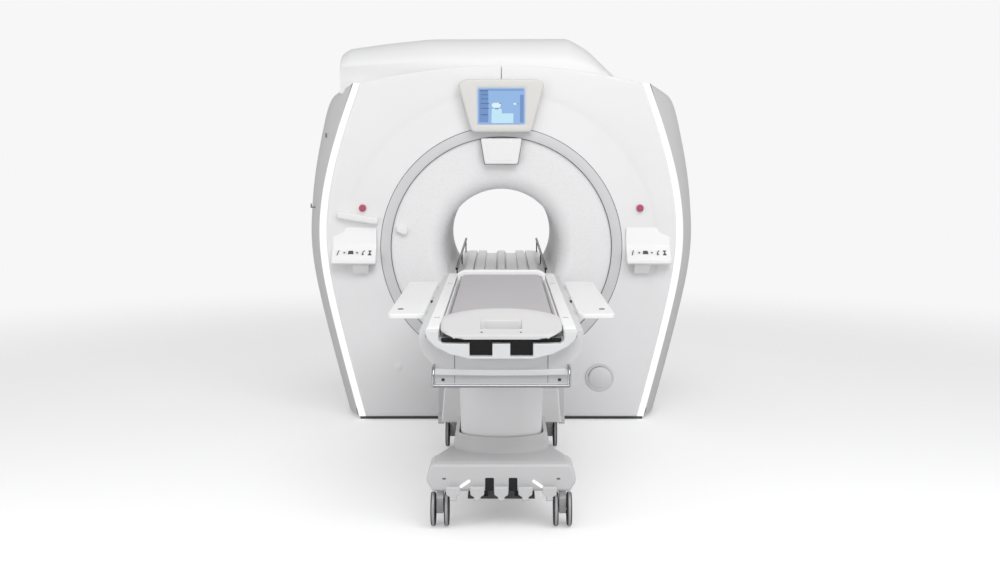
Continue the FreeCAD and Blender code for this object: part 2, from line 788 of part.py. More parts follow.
# ---------------------------------------------------------------- table base
def stadium(half, low, high, z):
    """A closed oblong wire with round ends, level at height z."""
    ends = [Vector(half, low + half, z), Vector(half, high - half, z),
            Vector(-half, high - half, z), Vector(-half, low + half, z)]
    return Part.Wire([Part.makeLine(ends[0], ends[1]),
                      Part.Arc(ends[1], Vector(0, high, z), ends[2]).toShape(),
                      Part.makeLine(ends[2], ends[3]),
                      Part.Arc(ends[3], Vector(0, low, z), ends[0]).toShape()])


def oblong(grow, low, high, growTop=None):
    """A solid round the sleeve's plan, grown by so much at its foot and its top."""
    wires = []
    for z, more in ((float(low), float(grow)), (float(high), float(grow if growTop is None else growTop))):
        wires.append(stadium(float(size.sleeveHalf) + more, float(size.sleeveFront) - more,
                             float(size.sleeveBack) + more, z))
    return Part.makeLoft(wires, True, True)


def beamCorners(inset, low):
    """Front view of the crossbeam's cover, symmetric about the middle."""
    half = size.beamHalf - inset
    right = [(half - 27, low), (half, 212), (half - 16, size.beamTop - 14 - inset / 2),
             (half - 34, size.beamTop - inset)]
    return right + [(-a, b) for a, b in reversed(right)]


def baseChassis():
    """Welded frame: crossbeams for the casters, a pan under the column, a docking tongue."""
    axis = size.casterX
    half = size.neckHalf
    wide = size.panHalf
    fore = size.casterFront + size.casterTrail
    aft = size.casterBack + size.casterTrail
    pan = box((-wide, size.beamBack, size.panLow), (wide, size.panBack, size.panLow + 12))
    bars = [box((-axis - 32, y - 34, chassisLow), (axis + 32, y + 34, chassisTop)) for y in (fore, aft)]
    ends = [box((-half, fore + 34, chassisLow), (half, size.beamBack + 12, chassisTop)),
            box((-half, size.panBack - 12, chassisLow), (half, aft - 34, chassisTop))]
    risers = [box((-half, y, size.panLow), (half, y + 12, chassisTop))
              for y in (size.beamBack, size.panBack - 12)]
    posts = []
    for x in (-110, 80):
        posts.append(box((x, fore - 10, chassisTop),
                         (x + 30, fore + 10, size.beamTop - 6 - size.seatGap)))
        posts.append(box((x, aft - 10, chassisTop), (x + 30, aft + 10, 339 - size.seatGap)))
    tongue = box((-80, aft + 34, 192), (80, front - 30, 234))
    shaft = rod(6, (-238, size.pedalShaftY, pedalHeight), 476, "x")
    lugs = [box((x - 5, size.pedalShaftY - 8, pedalHeight - 8), (x + 5, size.pedalShaftY + 8, chassisLow))
            for x in (-233, -160, -52, 52, 160, 233)]
    whole = fuse(pan, *bars, *ends, *risers, *posts, tongue, shaft, *lugs)
    holes = []
    for x in (-axis, axis):
        for y in (size.casterFront, size.casterBack):
            holes.append(rod(size.stemRadius + size.runFit,
                             (x, y + size.casterTrail, chassisLow - 6), size.beamThick + 20, "z"))
    return cut(whole, *holes)


def baseCover():
    """Moulded cover: front crossbeam, spine and the collar round the sleeve."""
    top = size.beamTop
    low = beamLow
    wall = 6
    beam = padded(beamCorners(0, low), "XZ", size.beamFront, size.beamBack - size.beamFront)
    soft = rounded(beam, 9, lambda e: along("x")(e) and e.BoundBox.ZMax > float(top) - 1)
    room = padded(beamCorners(wall, low - 1), "XZ", size.beamFront + wall,
                  size.beamBack - size.beamFront - 2 * wall)
    spine = box((-212, size.beamBack - 1, low), (212, size.spineBack, top))
    inside = box((-206, size.beamBack - 40, low - 1), (206, size.spineBack - wall, top - wall))
    grow = size.collarHalf - size.sleeveHalf
    collar = shaped(oblong(grow + 14, top - 2, size.collarTop, grow))
    well = shaped(oblong(grow - size.collarWall, low - 40, size.collarTop + 1))
    slots = []
    for side in (-1, 1):
        left, right = sorted((side * 32, side * 70))
        slots.append(box((left, size.beamFront - 1, low - 1), (right, size.beamFront + 7, low + 60)))
        grip = box((-28, 0, -7), (28, 8, 7))
        slots.append(place(grip, (side * 158, size.beamFront - 1, low + 33),
                           Rotation(Vector(0, 1, 0), side * 35)))
    arms = [box((x - 17, size.beamFront - 1, low - 1), (x + 17, size.beamFront + 7, low + 18))
            for x in pedalPlaces()]
    tray = cut(fuse(soft, spine), room, inside)
    return cut(fuse(tray, collar), well, *slots, *arms)


def rearHousing():
    """Cover over the rear casters, open below and behind."""
    y = size.casterBack + size.casterTrail
    corners = [(-330, 158), (330, 158), (311, 345), (-311, 345)]
    block = rounded(padded(corners, "XZ", y - 145, 265), 26, along("y"))
    inner = [(-324, 100), (324, 100), (305, 339), (-305, 339)]
    room = padded(inner, "XZ", y - 139, 253)
    gate = box((-84, y + 100, 100), (84, y + 130, 240))
    notch = box((-218, y - 160, 100), (218, y - 130, 291))
    return cut(block, room, gate, notch)


def liftCylinder():
    radius = size.ramRadius + size.runFit
    centre = (0, (size.sleeveFront + size.sleeveBack) / 2, size.panLow + 12)
    outside = rod(size.ramRadius + 12, centre, 460, "z")
    inside = rod(radius, (0, centre[1], centre[2] + 14), 460, "z")
    return cut(outside, inside)


def pedalPlaces():
    return [size.pedalPitch * n for n in (-2, -1, 0, 1, 2)]


def pedal(x):
    """A lever on the pedal shaft: hub, arm and foot plate."""
    half = size.pedalWidth / 2
    y = size.pedalShaftY
    z = pedalHeight
    hub = rod(13, (x - half, y, z), size.pedalWidth, "x")
    arm = box((x - half, size.beamFront - 14, z - 12), (x + half, y, z))
    tread = beamLow - 32
    toe = box((x - half, size.beamFront - 42, tread), (x + half, size.beamFront - 6, tread + 12))
    web = box((x - half, size.beamFront - 14, tread), (x + half, size.beamFront - 6, z))
    pad = rounded(fuse(toe, web, arm), 3, lambda e: along("x")(e) and e.BoundBox.YMax < float(y) - 30)
    return cut(fuse(hub, pad), rod(6 + size.runFit, (x - half - 1, y, z), size.pedalWidth + 2, "x"))


def casterFork(x, y):
    """Swivel body between the two wheels, with its stem."""
    swivel = y + size.casterTrail
    z = size.wheelRadius
    web = (size.wheelPitch - size.wheelWidth) / 2 - 2
    corners = [(y - 26, z - 14), (y + 26, z - 14), (swivel + 30, 2 * z + 2), (swivel + 30, 2 * z + 14),
               (swivel - 30, 2 * z + 14), (y - 30, 2 * z - 20)]
    body = padded(corners, "YZ", x - web, 2 * web)
    top = rod(28, (x, swivel, 2 * z + 2), 12, "z")
    stem = rod(size.stemRadius, (x, swivel, 2 * z + 13), chassisTop - 2 * z - 13, "z")
    bore = rod(size.axleRadius + size.runFit, (x - 40, y, z), 80, "x")
    return cut(fuse(body, top, stem), bore)


def casterWheels(x, y):
    """Two wheels on one axle."""
    z = size.wheelRadius
    wide = size.wheelWidth
    half = size.wheelPitch / 2
    wheels = []
    for side in (-1, 1):
        disc = rod(z, (x + half * side - wide / 2, y, z), wide, "x")
        wheels.append(rounded(disc, 4, lambda e: isinstance(e.Curve, Part.Circle)))
    axle = rod(size.axleRadius, (x - half, y, z), 2 * half, "x")
    return fuse(axle, *wheels)


# ---------------------------------------------------------------- table top
def columnSleeve():
    """Tapered oblong sleeve that hangs from the deck into the collar."""
    top = float(size.deckTop - size.deckWall)
    wall = float(size.sleeveWall)
    flare = float(size.sleeveFlare)
    outer = oblong(0, size.sleeveLow, top, flare)
    inner = oblong(-wall, size.sleeveLow - 1, top, flare - wall)
    return shaped(outer.cut(inner))


def liftRam():
    y = (size.sleeveFront + size.sleeveBack) / 2
    low = size.panLow + 40 + size.liftTravel
    return rod(size.ramRadius, (0, y, low), size.deckTop - size.deckWall - low, "z")


def tubCorners(inset):
    """Front view of the tub: lip, swelling side, ridge and bottom flange."""
    half = size.tubHalf - inset
    right = [(274 - inset, size.tubBottom), (274 - inset, 712), (294 - inset, 724),
             (294 - inset, 748), (half - 8, 806), (half, 850), (half - 4, 886)]
    return right + [(-a, b) for a, b in reversed(right)]


def tableFrame():
    """The tub under the table, its deck, and the arm boards' hinge lugs."""
    foot = size.tableFoot + 52
    length = size.tableHead - foot
    tub = padded(tubCorners(0), "XZ", foot, length)
    trough = box((-size.railOuter - 1, foot - 1, size.deckTop),
                 (size.railOuter + 1, size.tableHead + 1, size.railTop))
    room = box((-258, foot + 30, size.tubBottom - 1),
               (258, size.tableHead - 30, size.deckTop - size.deckWall))
    shell = cut(tub, trough, room)
    lugs, holes = [], []
    for side in (-1, 1):
        for y in hingePlaces():
            for step in (-34, 22):
                near, far = sorted((side * (size.tubHalf - 8), side * (size.hingeX + 7)))
                lugs.append(box((near, y + step, size.hingeHeight - 7),
                                (far, y + step + 12, size.hingeHeight + 7)))
            holes.append(rod(size.hingePin + size.runFit,
                             (size.hingeX * side, y - 36, size.hingeHeight), 72))
    return cut(fuse(shell, *lugs), *holes)


def hingePlaces():
    length = size.boardHead - size.boardFoot
    return [size.boardFoot + length * share for share in (0.12, 0.5, 0.88)]


def armBoard(side):
    """A long flat board with three hinge knuckles and their pins."""
    low = size.hingeX + 12
    high = low + size.boardWidth
    z = size.hingeHeight
    near, far = sorted((side * low, side * high))
    plate = rounded(box((near, size.boardFoot, z), (far, size.boardHead, z + size.boardThick)),
                    24, along("z"))
    pieces = [plate]
    for y in hingePlaces():
        near, far = sorted((side * size.hingeX, side * (low + 6)))
        pieces.append(rod(7, (size.hingeX * side, y - 20, z), 40))
        pieces.append(box((near, y - 20, z), (far, y + 20, z + 7)))
        pieces.append(rod(size.hingePin, (size.hingeX * side, y - 33, z), 66))
    return fuse(*pieces)


def sideRail(side):
    near, far = sorted((side * size.railInner, side * size.railOuter))
    low = size.deckTop + size.seatGap
    rail = box((near, size.tableFoot + 52, low), (far, size.tableHead, size.railTop))
    return rounded(rail, 5, lambda e: along("y")(e) and e.BoundBox.ZMax > float(size.railTop) - 1)


def footFascia():
    """U-shaped end panel with a notch for the cradle and two pockets."""
    right = [(133, 775), (215, 795), (275, 826), (310, 860), (319, 892), (262, 892), (262, 852),
             (246, 838), (133, 838), (133, 784), (37, 784), (37, 838)]
    corners = right + [(-a, b) for a, b in reversed(right)]
    return padded(corners, "XZ", size.tableFoot, 52 - size.seatGap)


def pushBar():
    """A bent tube across the foot, its ends turned up and back into the tub."""
    y = size.tableFoot - size.barReach
    end = size.tableFoot + 52 - size.seatGap
    half = size.barHalf - 8
    corners = [(half, end, 736), (half, y, 736), (half, y, size.barHeight),
               (-half, y, size.barHeight), (-half, y, 736), (-half, end, 736)]
    points = [Vector(*[float(v) for v in corner]) for corner in corners]
    path = Part.Wire(bent(points, 24))
    circle = Part.Wire(Part.makeCircle(float(size.barRadius), points[0], Vector(0, 1, 0)))
    return shaped(path.makePipeShell([circle], True, False))


# ---------------------------------------------------------------- cradle
def cradleShell():
    """A long tray, and a raised foot end with a hand slot through its slope."""
    low = size.deckTop + size.seatGap
    high = size.railTop
    half = size.cradleHalf
    foot = size.tableFoot - 4
    head = size.tableHead - 8
    tray = box((-half, foot + 200, low), (half, head, high))
    dish = box((-half + 14, foot + 232, low + size.cradleWall - 4), (half - 14, head - 20, high + 1))
    bevel = [(-half + 58, low), (half - 58, low), (half, high - 12), (half, high),
             (half - 10, high + 46), (120, high + 62), (-120, high + 62), (-half + 10, high + 46),
             (-half, high), (-half, high - 12)]
    end = padded(bevel, "XZ", foot, 232)
    slope = [(foot - 1, high), (foot + 215, high + 72), (foot - 1, high + 90)]
    wedge = padded(slope, "YZ", -half - 1, 2 * half + 2)
    slot = rounded(box((-86, foot + 66, low - 40), (86, foot + 128, high + 90)), 14, along("z"))
    return cut(fuse(cut(tray, dish), cut(end, wedge)), slot)


def cushion():
    low = size.deckTop + size.seatGap + size.cradleWall - 4 + size.seatGap
    pad = box((-cushionHalf, size.cushionFoot, low),
              (cushionHalf, size.cushionHead, low + size.cushionHeight))
    return rounded(pad, 12, lambda e: along("y")(e) or along("x")(e) and e.BoundBox.ZMin > 900)


keep("base_frame", baseFrame())
keep("vacuum_vessel", vacuumVessel())
keep("coil_former", coilFormer())
keep("magnet_coils", magnetCoils())
keep("gradient_coil", gradientCoil())
keep("rf_body_coil", bodyCoil())
keep("bore_liner", boreLiner())
keep("cold_head", coldHead())
keep("trim_ring", trimRing())
keep("flare_funnel", flare())
keep("top_cover", topCover())
keep("rear_cover", rearCover())
keep("display_housing", displayHousing())
keep("display_screen", displayScreen())
keep("light_housing", lightHousing())
keep("port_bezel", portBezel())
keep("port_cap", portCap())
keep("accessory_shelf", accessoryShelf())
keep("bore_bridge", boreBridge())
keep("rear_pedestal", rearPedestal())
keep("dock_socket", dockSocket())
for word, side in (("left", -1), ("right", 1)):
    keep("front_cover_" + word, frontCover(side))
    keep("led_strip_" + word, lightStrip(side))
    keep("side_cover_" + word, sideCover(side))
    keep("control_panel_" + word, controlPanel(side))
    keep("estop_button_" + word, stopButton(side))
    keep("side_rail_" + word, sideRail(side))
    keep("arm_board_" + word, armBoard(side))
keep("side_hooks", sideHooks([thing for thing in kept if thing.Label == "side_cover_left"][0]))
keep("base_chassis", baseChassis())
keep("base_cover", baseCover())
keep("rear_housing", rearHousing())
keep("lift_cylinder", liftCylinder())
keep("column_sleeve", columnSleeve())
keep("lift_ram", liftRam())
keep("table_frame", tableFrame())
keep("foot_fascia", footFascia())
keep("push_bar", pushBar())
keep("cradle_shell", cradleShell())
keep("cushion", cushion())
for number, x in enumerate(pedalPlaces(), 1):
    keep("pedal_%d" % number, pedal(x))
for end, y in (("front", size.casterFront), ("rear", size.casterBack)):
    for word, side in (("left", -1), ("right", 1)):
        keep("caster_fork_%s_%s" % (end, word), casterFork(size.casterX * side, y))
        keep("caster_wheels_%s_%s" % (end, word), casterWheels(size.casterX * side, y))

doc.recompute()
bad = [thing.Label for thing in doc.Objects if {"Invalid", "Error"} & set(thing.State)]
for thing in kept:
    if thing.Shape.isNull() or not thing.Shape.isValid() or not thing.Shape.Solids:
        bad.append(thing.Label + " shape")
if bad:
    raise SystemExit("failed: " + ", ".join(bad))
os.makedirs("parts", exist_ok=True)
for thing in kept:
    thing.Shape.exportStep("parts/%s.step" % thing.Label)
print(len(kept), "pieces written")
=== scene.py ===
import math

import bmesh
import bpy
import numpy as np
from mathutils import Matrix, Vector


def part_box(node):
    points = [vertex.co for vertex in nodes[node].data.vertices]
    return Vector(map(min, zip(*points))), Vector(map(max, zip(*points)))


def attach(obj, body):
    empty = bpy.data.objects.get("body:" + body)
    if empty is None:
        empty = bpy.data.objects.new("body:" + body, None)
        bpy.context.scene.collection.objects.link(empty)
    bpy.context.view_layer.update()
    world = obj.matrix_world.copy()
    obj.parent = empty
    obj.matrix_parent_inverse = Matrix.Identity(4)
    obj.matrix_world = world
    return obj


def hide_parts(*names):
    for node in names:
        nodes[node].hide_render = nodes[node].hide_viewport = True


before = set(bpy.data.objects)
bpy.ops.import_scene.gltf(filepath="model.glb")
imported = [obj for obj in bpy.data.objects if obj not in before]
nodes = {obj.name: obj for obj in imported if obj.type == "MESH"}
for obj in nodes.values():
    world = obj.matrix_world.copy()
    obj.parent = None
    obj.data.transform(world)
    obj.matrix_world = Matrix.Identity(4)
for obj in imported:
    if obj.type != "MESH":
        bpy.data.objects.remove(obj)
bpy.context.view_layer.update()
sides = ((-1, "Left"), (1, "Right"))
print("frame loaded:", len(nodes), "nodes")


# ---- camera, light and floor

studio = {
    "cameraPlace": (0.0, -8.359, 1.648),
    "cameraPitch": 83.904,  # degrees from looking straight down
    "lens": 45.0,
    "shiftX": -0.0013,
    "backdrop": "#F7F7F8",
    "roomLight": 0.525,  # even light from all round
    "keyPower": 152.0,
    "keyPlace": (1.1, -5.4, 5.0),
    "keySize": (5.0, 3.0),
    "fillPower": 20.0,
    "fillPlace": (-4.5, -5.0, 2.6),
    "fillSize": (3.0, 3.0),
    "rearPower": 8.0,  # lights the tube from behind
    "rearPlace": (0.0, 3.2, 1.9),
    "rearSize": (1.6, 1.2),
    "lampTarget": (0.0, -1.2, 1.0),  # what the key, fill and rear lamps point at
    "stripPower": 19.0,  # tall narrow lamps that draw bright bands down the column
    "stripPlace": (3.1, -4.9, 1.0),
    "stripSize": (0.5, 2.2),
    "stripTarget": (0.0, -2.4, 0.7),
    "floorTone": "#DDDDDE",
    "floorGlow": 0.34,  # light that the floor gives off itself
    "floorSolid": 3.4,  # the floor is whole to here, then fades into the backdrop
    "floorEdge": 8.0,
}


def toLinear(hexColour):
    # sRGB hex to linear: the power curve of 2.4 above its short straight foot
    parts = [int(hexColour[i:i + 2], 16) / 255 for i in (1, 3, 5)]
    return tuple(p / 12.92 if p <= 0.04045 else ((p + 0.055) / 1.055) ** 2.4 for p in parts) + (1.0,)


def addNode(tree, kind, settings=None, **links):
    # one node: settings go on the node or, by socket name or number, on its inputs; links give their source
    node = tree.nodes.new(kind)
    for name, value in (settings or {}).items():
        if isinstance(name, int) or name in node.inputs:
            node.inputs[name].default_value = value
        else:
            setattr(node, name, value)
    for name, source in links.items():
        key = int(name[1:]) if name[0] == "i" and name[1:].isdigit() else name.replace("_", " ")
        tree.links.new(source, node.inputs[key])
    return node


def aimAt(thing, place, target):
    direction = np.array(target) - np.array(place)
    flat = math.hypot(direction[0], direction[1])
    thing.location = place
    thing.rotation_euler = (math.pi / 2 + math.atan2(direction[2], flat), 0,
                            math.atan2(direction[1], direction[0]) - math.pi / 2)


def addLamp(name, place, size, power, target=studio["lampTarget"]):
    lamp = bpy.data.lights.new(name, "AREA")
    lamp.shape = "RECTANGLE"
    lamp.size, lamp.size_y = size
    lamp.energy = power
    thing = bpy.data.objects.new(name, lamp)
    bpy.context.scene.collection.objects.link(thing)
    aimAt(thing, place, target)
    return thing


def makeStudio():
    scene = bpy.context.scene
    scene.view_settings.view_transform = "Standard"
    camera = bpy.data.objects.new("camera", bpy.data.cameras.new("camera"))
    camera.data.lens = studio["lens"]
    camera.data.shift_x = studio["shiftX"]
    camera.location = studio["cameraPlace"]
    camera.rotation_euler = (math.radians(studio["cameraPitch"]), 0, 0)
    scene.collection.objects.link(camera)
    scene.camera = camera
    addLamp("key", studio["keyPlace"], studio["keySize"], studio["keyPower"])
    addLamp("fill", studio["fillPlace"], studio["fillSize"], studio["fillPower"])
    rear = addLamp("rear", studio["rearPlace"], studio["rearSize"], studio["rearPower"])
    rear.visible_camera = False
    for side, word in sides:
        x, y, z = studio["stripPlace"]
        strip = addLamp("strip" + word, (side * x, y, z), studio["stripSize"], studio["stripPower"],
                        studio["stripTarget"])
        strip.visible_camera = False

    world = bpy.data.worlds.new("studio")
    world.use_nodes = True
    scene.world = world
    tree = world.node_tree
    tree.nodes.clear()
    # seen directly the room is the plain backdrop; as light it is softer
    seen = addNode(tree, "ShaderNodeBackground", {"Color": toLinear(studio["backdrop"]), "Strength": 1.0})
    lit = addNode(tree, "ShaderNodeBackground", {"Color": (1, 1, 1, 1), "Strength": studio["roomLight"]})
    path = addNode(tree, "ShaderNodeLightPath")
    mix = addNode(tree, "ShaderNodeMixShader", None, i0=path.outputs["Is Camera Ray"],
                  i1=lit.outputs[0], i2=seen.outputs[0])
    addNode(tree, "ShaderNodeOutputWorld", None, Surface=mix.outputs[0])

    # floor: a flat disc whose outer part fades into the backdrop
    edge, turns = studio["floorEdge"], 96
    angle = np.arange(turns) * 2 * np.pi / turns
    rim = np.stack([np.cos(angle) * edge, np.sin(angle) * edge - 1.0, np.zeros(turns)], axis=1)
    mesh = bpy.data.meshes.new("floor")
    mesh.from_pydata(rim.tolist(), [], [list(range(turns))])
    floor = bpy.data.objects.new("floor", mesh)
    scene.collection.objects.link(floor)
    paint = bpy.data.materials.new("paintedStudioFloor")
    paint.use_nodes = True
    tree = paint.node_tree
    tree.nodes.clear()
    where = addNode(tree, "ShaderNodeTexCoord")
    shifted = addNode(tree, "ShaderNodeVectorMath", {"operation": "ADD", 1: (0, 1.0, 0)},
                      i0=where.outputs["Object"])
    away = addNode(tree, "ShaderNodeVectorMath", {"operation": "LENGTH"}, i0=shifted.outputs[0])
    fade = addNode(tree, "ShaderNodeMapRange",
                   {"interpolation_type": "SMOOTHSTEP", "From Min": studio["floorSolid"],
                    "From Max": edge * 0.98},
                   Value=away.outputs["Value"])
    # part of its brightness is its own, so shadows on it stay light
    dull = addNode(tree, "ShaderNodeBsdfDiffuse", {"Color": toLinear(studio["floorTone"])})
    direct = addNode(tree, "ShaderNodeLightPath")
    glow = addNode(tree, "ShaderNodeMath", {"operation": "MULTIPLY", 1: studio["floorGlow"]},
                   i0=direct.outputs["Is Camera Ray"])
    shine = addNode(tree, "ShaderNodeEmission", {"Color": (1, 1, 1, 1)}, Strength=glow.outputs[0])
    matt = addNode(tree, "ShaderNodeAddShader", None, i0=dull.outputs[0], i1=shine.outputs[0])
    clear = addNode(tree, "ShaderNodeBsdfTransparent")
    mix = addNode(tree, "ShaderNodeMixShader", None, i0=fade.outputs[0], i1=matt.outputs[0],
                  i2=clear.outputs[0])
    addNode(tree, "ShaderNodeOutputMaterial", None, Surface=mix.outputs[0])
    mesh.materials.append(paint)


makeStudio()
print("studio ready")


# ---- materials

def newMaterial(name):
    # an empty node tree with its output and one principled shader
    material = bpy.data.materials.new(name)
    material.use_nodes = True
    tree = material.node_tree
    tree.nodes.clear()
    shader = addNode(tree, "ShaderNodeBsdfPrincipled")
    addNode(tree, "ShaderNodeOutputMaterial", None, Surface=shader.outputs[0])
    return material, tree, shader


def moulded(name, hexColour, roughness, grain, bump, drift=0.03, coat=0.0):
    # grain: size in metres of the surface's fine pattern; bump: its height in metres; drift: slow change
    # of tone
    material, tree, shader = newMaterial(name)
    where = addNode(tree, "ShaderNodeTexCoord").outputs["Object"]
    slow = addNode(tree, "ShaderNodeTexNoise", {"Scale": 1.6, "Detail": 2.0}, Vector=where)
    tone = addNode(tree, "ShaderNodeMapRange", {"From Min": 0.3, "From Max": 0.7, "To Min": 1 - drift,
                                                "To Max": 1.0},
                   Value=slow.outputs["Fac"])
    colour = addNode(tree, "ShaderNodeMix", {"data_type": "RGBA", "blend_type": "MULTIPLY", "Factor": 1.0,
                                             6: toLinear(hexColour)}, i7=tone.outputs[0])
    tree.links.new(colour.outputs[2], shader.inputs["Base Color"])
    fine = addNode(tree, "ShaderNodeTexNoise", {"Scale": 0.5 / grain, "Detail": 3.0}, Vector=where)
    gloss = addNode(tree, "ShaderNodeMapRange",
                    {"From Min": 0.25, "From Max": 0.75, "To Min": roughness - 0.04,
                     "To Max": roughness + 0.05},
                    Value=fine.outputs["Fac"])
    tree.links.new(gloss.outputs[0], shader.inputs["Roughness"])
    relief = addNode(tree, "ShaderNodeBump", {"Strength": 1.0, "Distance": bump},
                     Height=fine.outputs["Fac"])
    tree.links.new(relief.outputs[0], shader.inputs["Normal"])
    shader.inputs["IOR"].default_value = 1.5
    shader.inputs["Coat Weight"].default_value = coat
    shader.inputs["Coat Roughness"].default_value = 0.15
    return material


def metal(name, hexColour, roughness):
    # bare metal: its colour is its reflection, and fine brushing along the part's length varies the gloss
    material, tree, shader = newMaterial(name)
    where = addNode(tree, "ShaderNodeTexCoord").outputs["Object"]
    stretched = addNode(tree, "ShaderNodeMapping", {"Scale": (40.0, 400.0, 400.0)}, Vector=where)
    brushed = addNode(tree, "ShaderNodeTexNoise", {"Scale": 1.0, "Detail": 3.0},
                      Vector=stretched.outputs[0])
    gloss = addNode(tree, "ShaderNodeMapRange", {"To Min": roughness - 0.03, "To Max": roughness + 0.08},
                    Value=brushed.outputs["Fac"])
    tree.links.new(gloss.outputs[0], shader.inputs["Roughness"])
    shader.inputs["Base Color"].default_value = toLinear(hexColour)
    shader.inputs["Metallic"].default_value = 1.0
    return material


def glowing(name, hexColour, strength):
    # mostly its own light, under a smooth clear face
    material, tree, shader = newMaterial(name)
    shader.inputs["Base Color"].default_value = (0.02, 0.02, 0.02, 1.0)
    shader.inputs["Emission Color"].default_value = toLinear(hexColour)
    shader.inputs["Emission Strength"].default_value = strength
    shader.inputs["Roughness"].default_value = 0.12
    return material


# scene name, colour, roughness, grain, bump; the note says what each gives the eye
coatings = {
    "cover_white": ("polyurethanePaintWhite", "#F0F0F1", 0.42, 0.004, 0.00004),  # satin sprayed panels
    # glossier, so the flare's lip shines
    "flare_white": ("polyurethanePaintFlare", "#F2F2F3", 0.28, 0.004, 0.00004),
    "liner_white": ("epoxyGlassLiner", "#ECECED", 0.35, 0.004, 0.00004),  # smooth laminate of the tube
    "side_grey": ("polyurethanePaintGrey", "#DADADB", 0.45, 0.004, 0.00004),  # duller than the front covers
    # a shade darker than the covers beside it
    "ring_grey": ("mouldedTrimGrey", "#D6D5D7", 0.4, 0.002, 0.00004),
    "housing_white": ("mouldedAbsWhite", "#F3F2F2", 0.4, 0.002, 0.00004),  # fine-grained white plastic
    "housing_grey": ("mouldedAbsWarmGrey", "#DEDDDA", 0.42, 0.002, 0.00004),  # slightly warm plastic
    "cover_grey": ("mouldedAbsLightGrey", "#E2E2E3", 0.42, 0.002, 0.00004),  # between white and the trim
    "signal_red": ("buttonRed", "#B8566C", 0.3, 0.002, 0.0),  # muted red, smooth
    "dark_trim": ("blackNylon", "#3A3A3C", 0.5, 0.002, 0.00004),  # dull black plastic
    "dark_steel": ("powderCoatDark", "#5A5A5E", 0.5, 0.002, 0.00005),  # dull grey frames
    "steel_paint": ("enamelSteel", "#D8D9DC", 0.4, 0.003, 0.00004),  # painted steel, a little cold
    "resin": ("castResin", "#C6B68A", 0.4, 0.003, 0.00004),  # yellowish casting of the inner coils
    "bridge_grey": ("bridgeGrey", "#ECECED", 0.4, 0.002, 0.00004),  # pale ribbed deck
    "sleeve_grey": ("sleeveGrey", "#E6E6E7", 0.36, 0.002, 0.00003),  # smooth enough for soft bright bands
    "base_grey": ("baseGrey", "#CFCFD0", 0.42, 0.002, 0.00004),  # the darkest of the table's greys
    "tub_grey": ("tubGrey", "#DADADB", 0.42, 0.002, 0.00004),
    "rail_grey": ("railGrey", "#FCFCFC", 0.4, 0.002, 0.00004),  # the brightest plastic
    "cradle_grey": ("cradleGrey", "#E2E2E3", 0.4, 0.002, 0.00004),
    # matt, with a weave that only shows close up
    "pad_fabric": ("coatedFabric", "#BFBCBE", 0.6, 0.002, 0.0001),
    "fork_grey": ("forkGrey", "#C8C8C8", 0.45, 0.002, 0.00004),
    "wheel_rubber": ("tyreRubber", "#3E3E40", 0.55, 0.002, 0.0001),  # matt and faintly rough
}
metals = {
    "bright_steel": ("groundSteel", "#C4C4C6", 0.28),  # soft reflections with fine brushing
    "copper_winding": ("lacqueredCopper", "#B87650", 0.35),
    "bright_bar": ("chromedTube", "#A9A9AC", 0.12),  # near mirror, dark and bright lines along it
}
# finishes of pieces that only the looks have, each listed with a finish that the part has, which is not used
trimGrain = (0.42, 0.002, 0.00003)
trimFinishes = {
    # painted shade: dark grey for the thin gaps round the trim ring, the light housing and the port
    "gap_shade_grey": ("paintedGapShadeGrey", "#58585C", "dark_trim"),
    # the guide rods' and posts' own black, and painted shade as dark sheets in openings, pockets and gaps
    "rod_black_and_painted_shade": ("rodBlackAndPaintedShade", "#0C0D0E", "dark_trim"),  # reads as an opening
    "mark_grey": ("printGrey", "#6F7074", "dark_trim"),
    "glyph_dark": ("glyphDark", "#4E4F53", "dark_trim"),
    "halo_pink": ("stopPink", "#F0D3DA", "signal_red"),  # pale ring round the red buttons
    "fascia_grey": ("fasciaGrey", "#E2E3E4", "housing_white"),
    "board_white": ("boardWhite", "#FAFAFA", "housing_white"),
    "cap_grey": ("cradleCapGrey", "#DAD9D9", "cradle_grey"),
    "collar_grey": ("collarGrey", "#CACACB", "base_grey"),
    # painted shade: the darker band under the tub's ridge
    "painted_shade_grey": ("paintedShadeGrey", "#C6C7C8", "tub_grey"),
    "tread_grey": ("treadGrey", "#A9A9AB", "wheel_rubber"),
    "hub_grey": ("hubGrey", "#D2D2D3", "wheel_rubber"),
}
screenTones = {"ground": "#8FB4E2", "band": "#6C90C4", "bar": "#4A6A9C", "pale": "#BFE4F6",
               "figure": "#D9F2F5",
               "mark": "#5C7FA0"}
screenGlow = 0.98

finishes = {key: moulded(*values) for key, values in coatings.items()}
finishes.update({key: metal(*values) for key, values in metals.items()})
for key, (name, tone, slotName) in trimFinishes.items():
    finishes[key] = moulded(name, tone, *trimGrain)
for tone, colour in screenTones.items():
    finishes["screen_" + tone] = glowing("screen" + tone.capitalize(), colour, screenGlow)
# lit from inside: the display's glass and the milky bars beside the covers
finishes["screen_glass"] = glowing("screenGlassLit", screenTones["ground"], screenGlow)
finishes["light_strip"] = glowing("opalDiffuserLit", "#FFFFFF", 1.0)
for node in nodes.values():
    for place, old in enumerate(node.data.materials):
        if old and old.name in finishes:
            node.data.materials[place] = finishes[old.name]
nodes["side_hooks"].data.materials[0] = finishes["mark_grey"]
print("materials ready")


# ---- shapes: every new piece is a run of closed rings of points, joined ring to ring

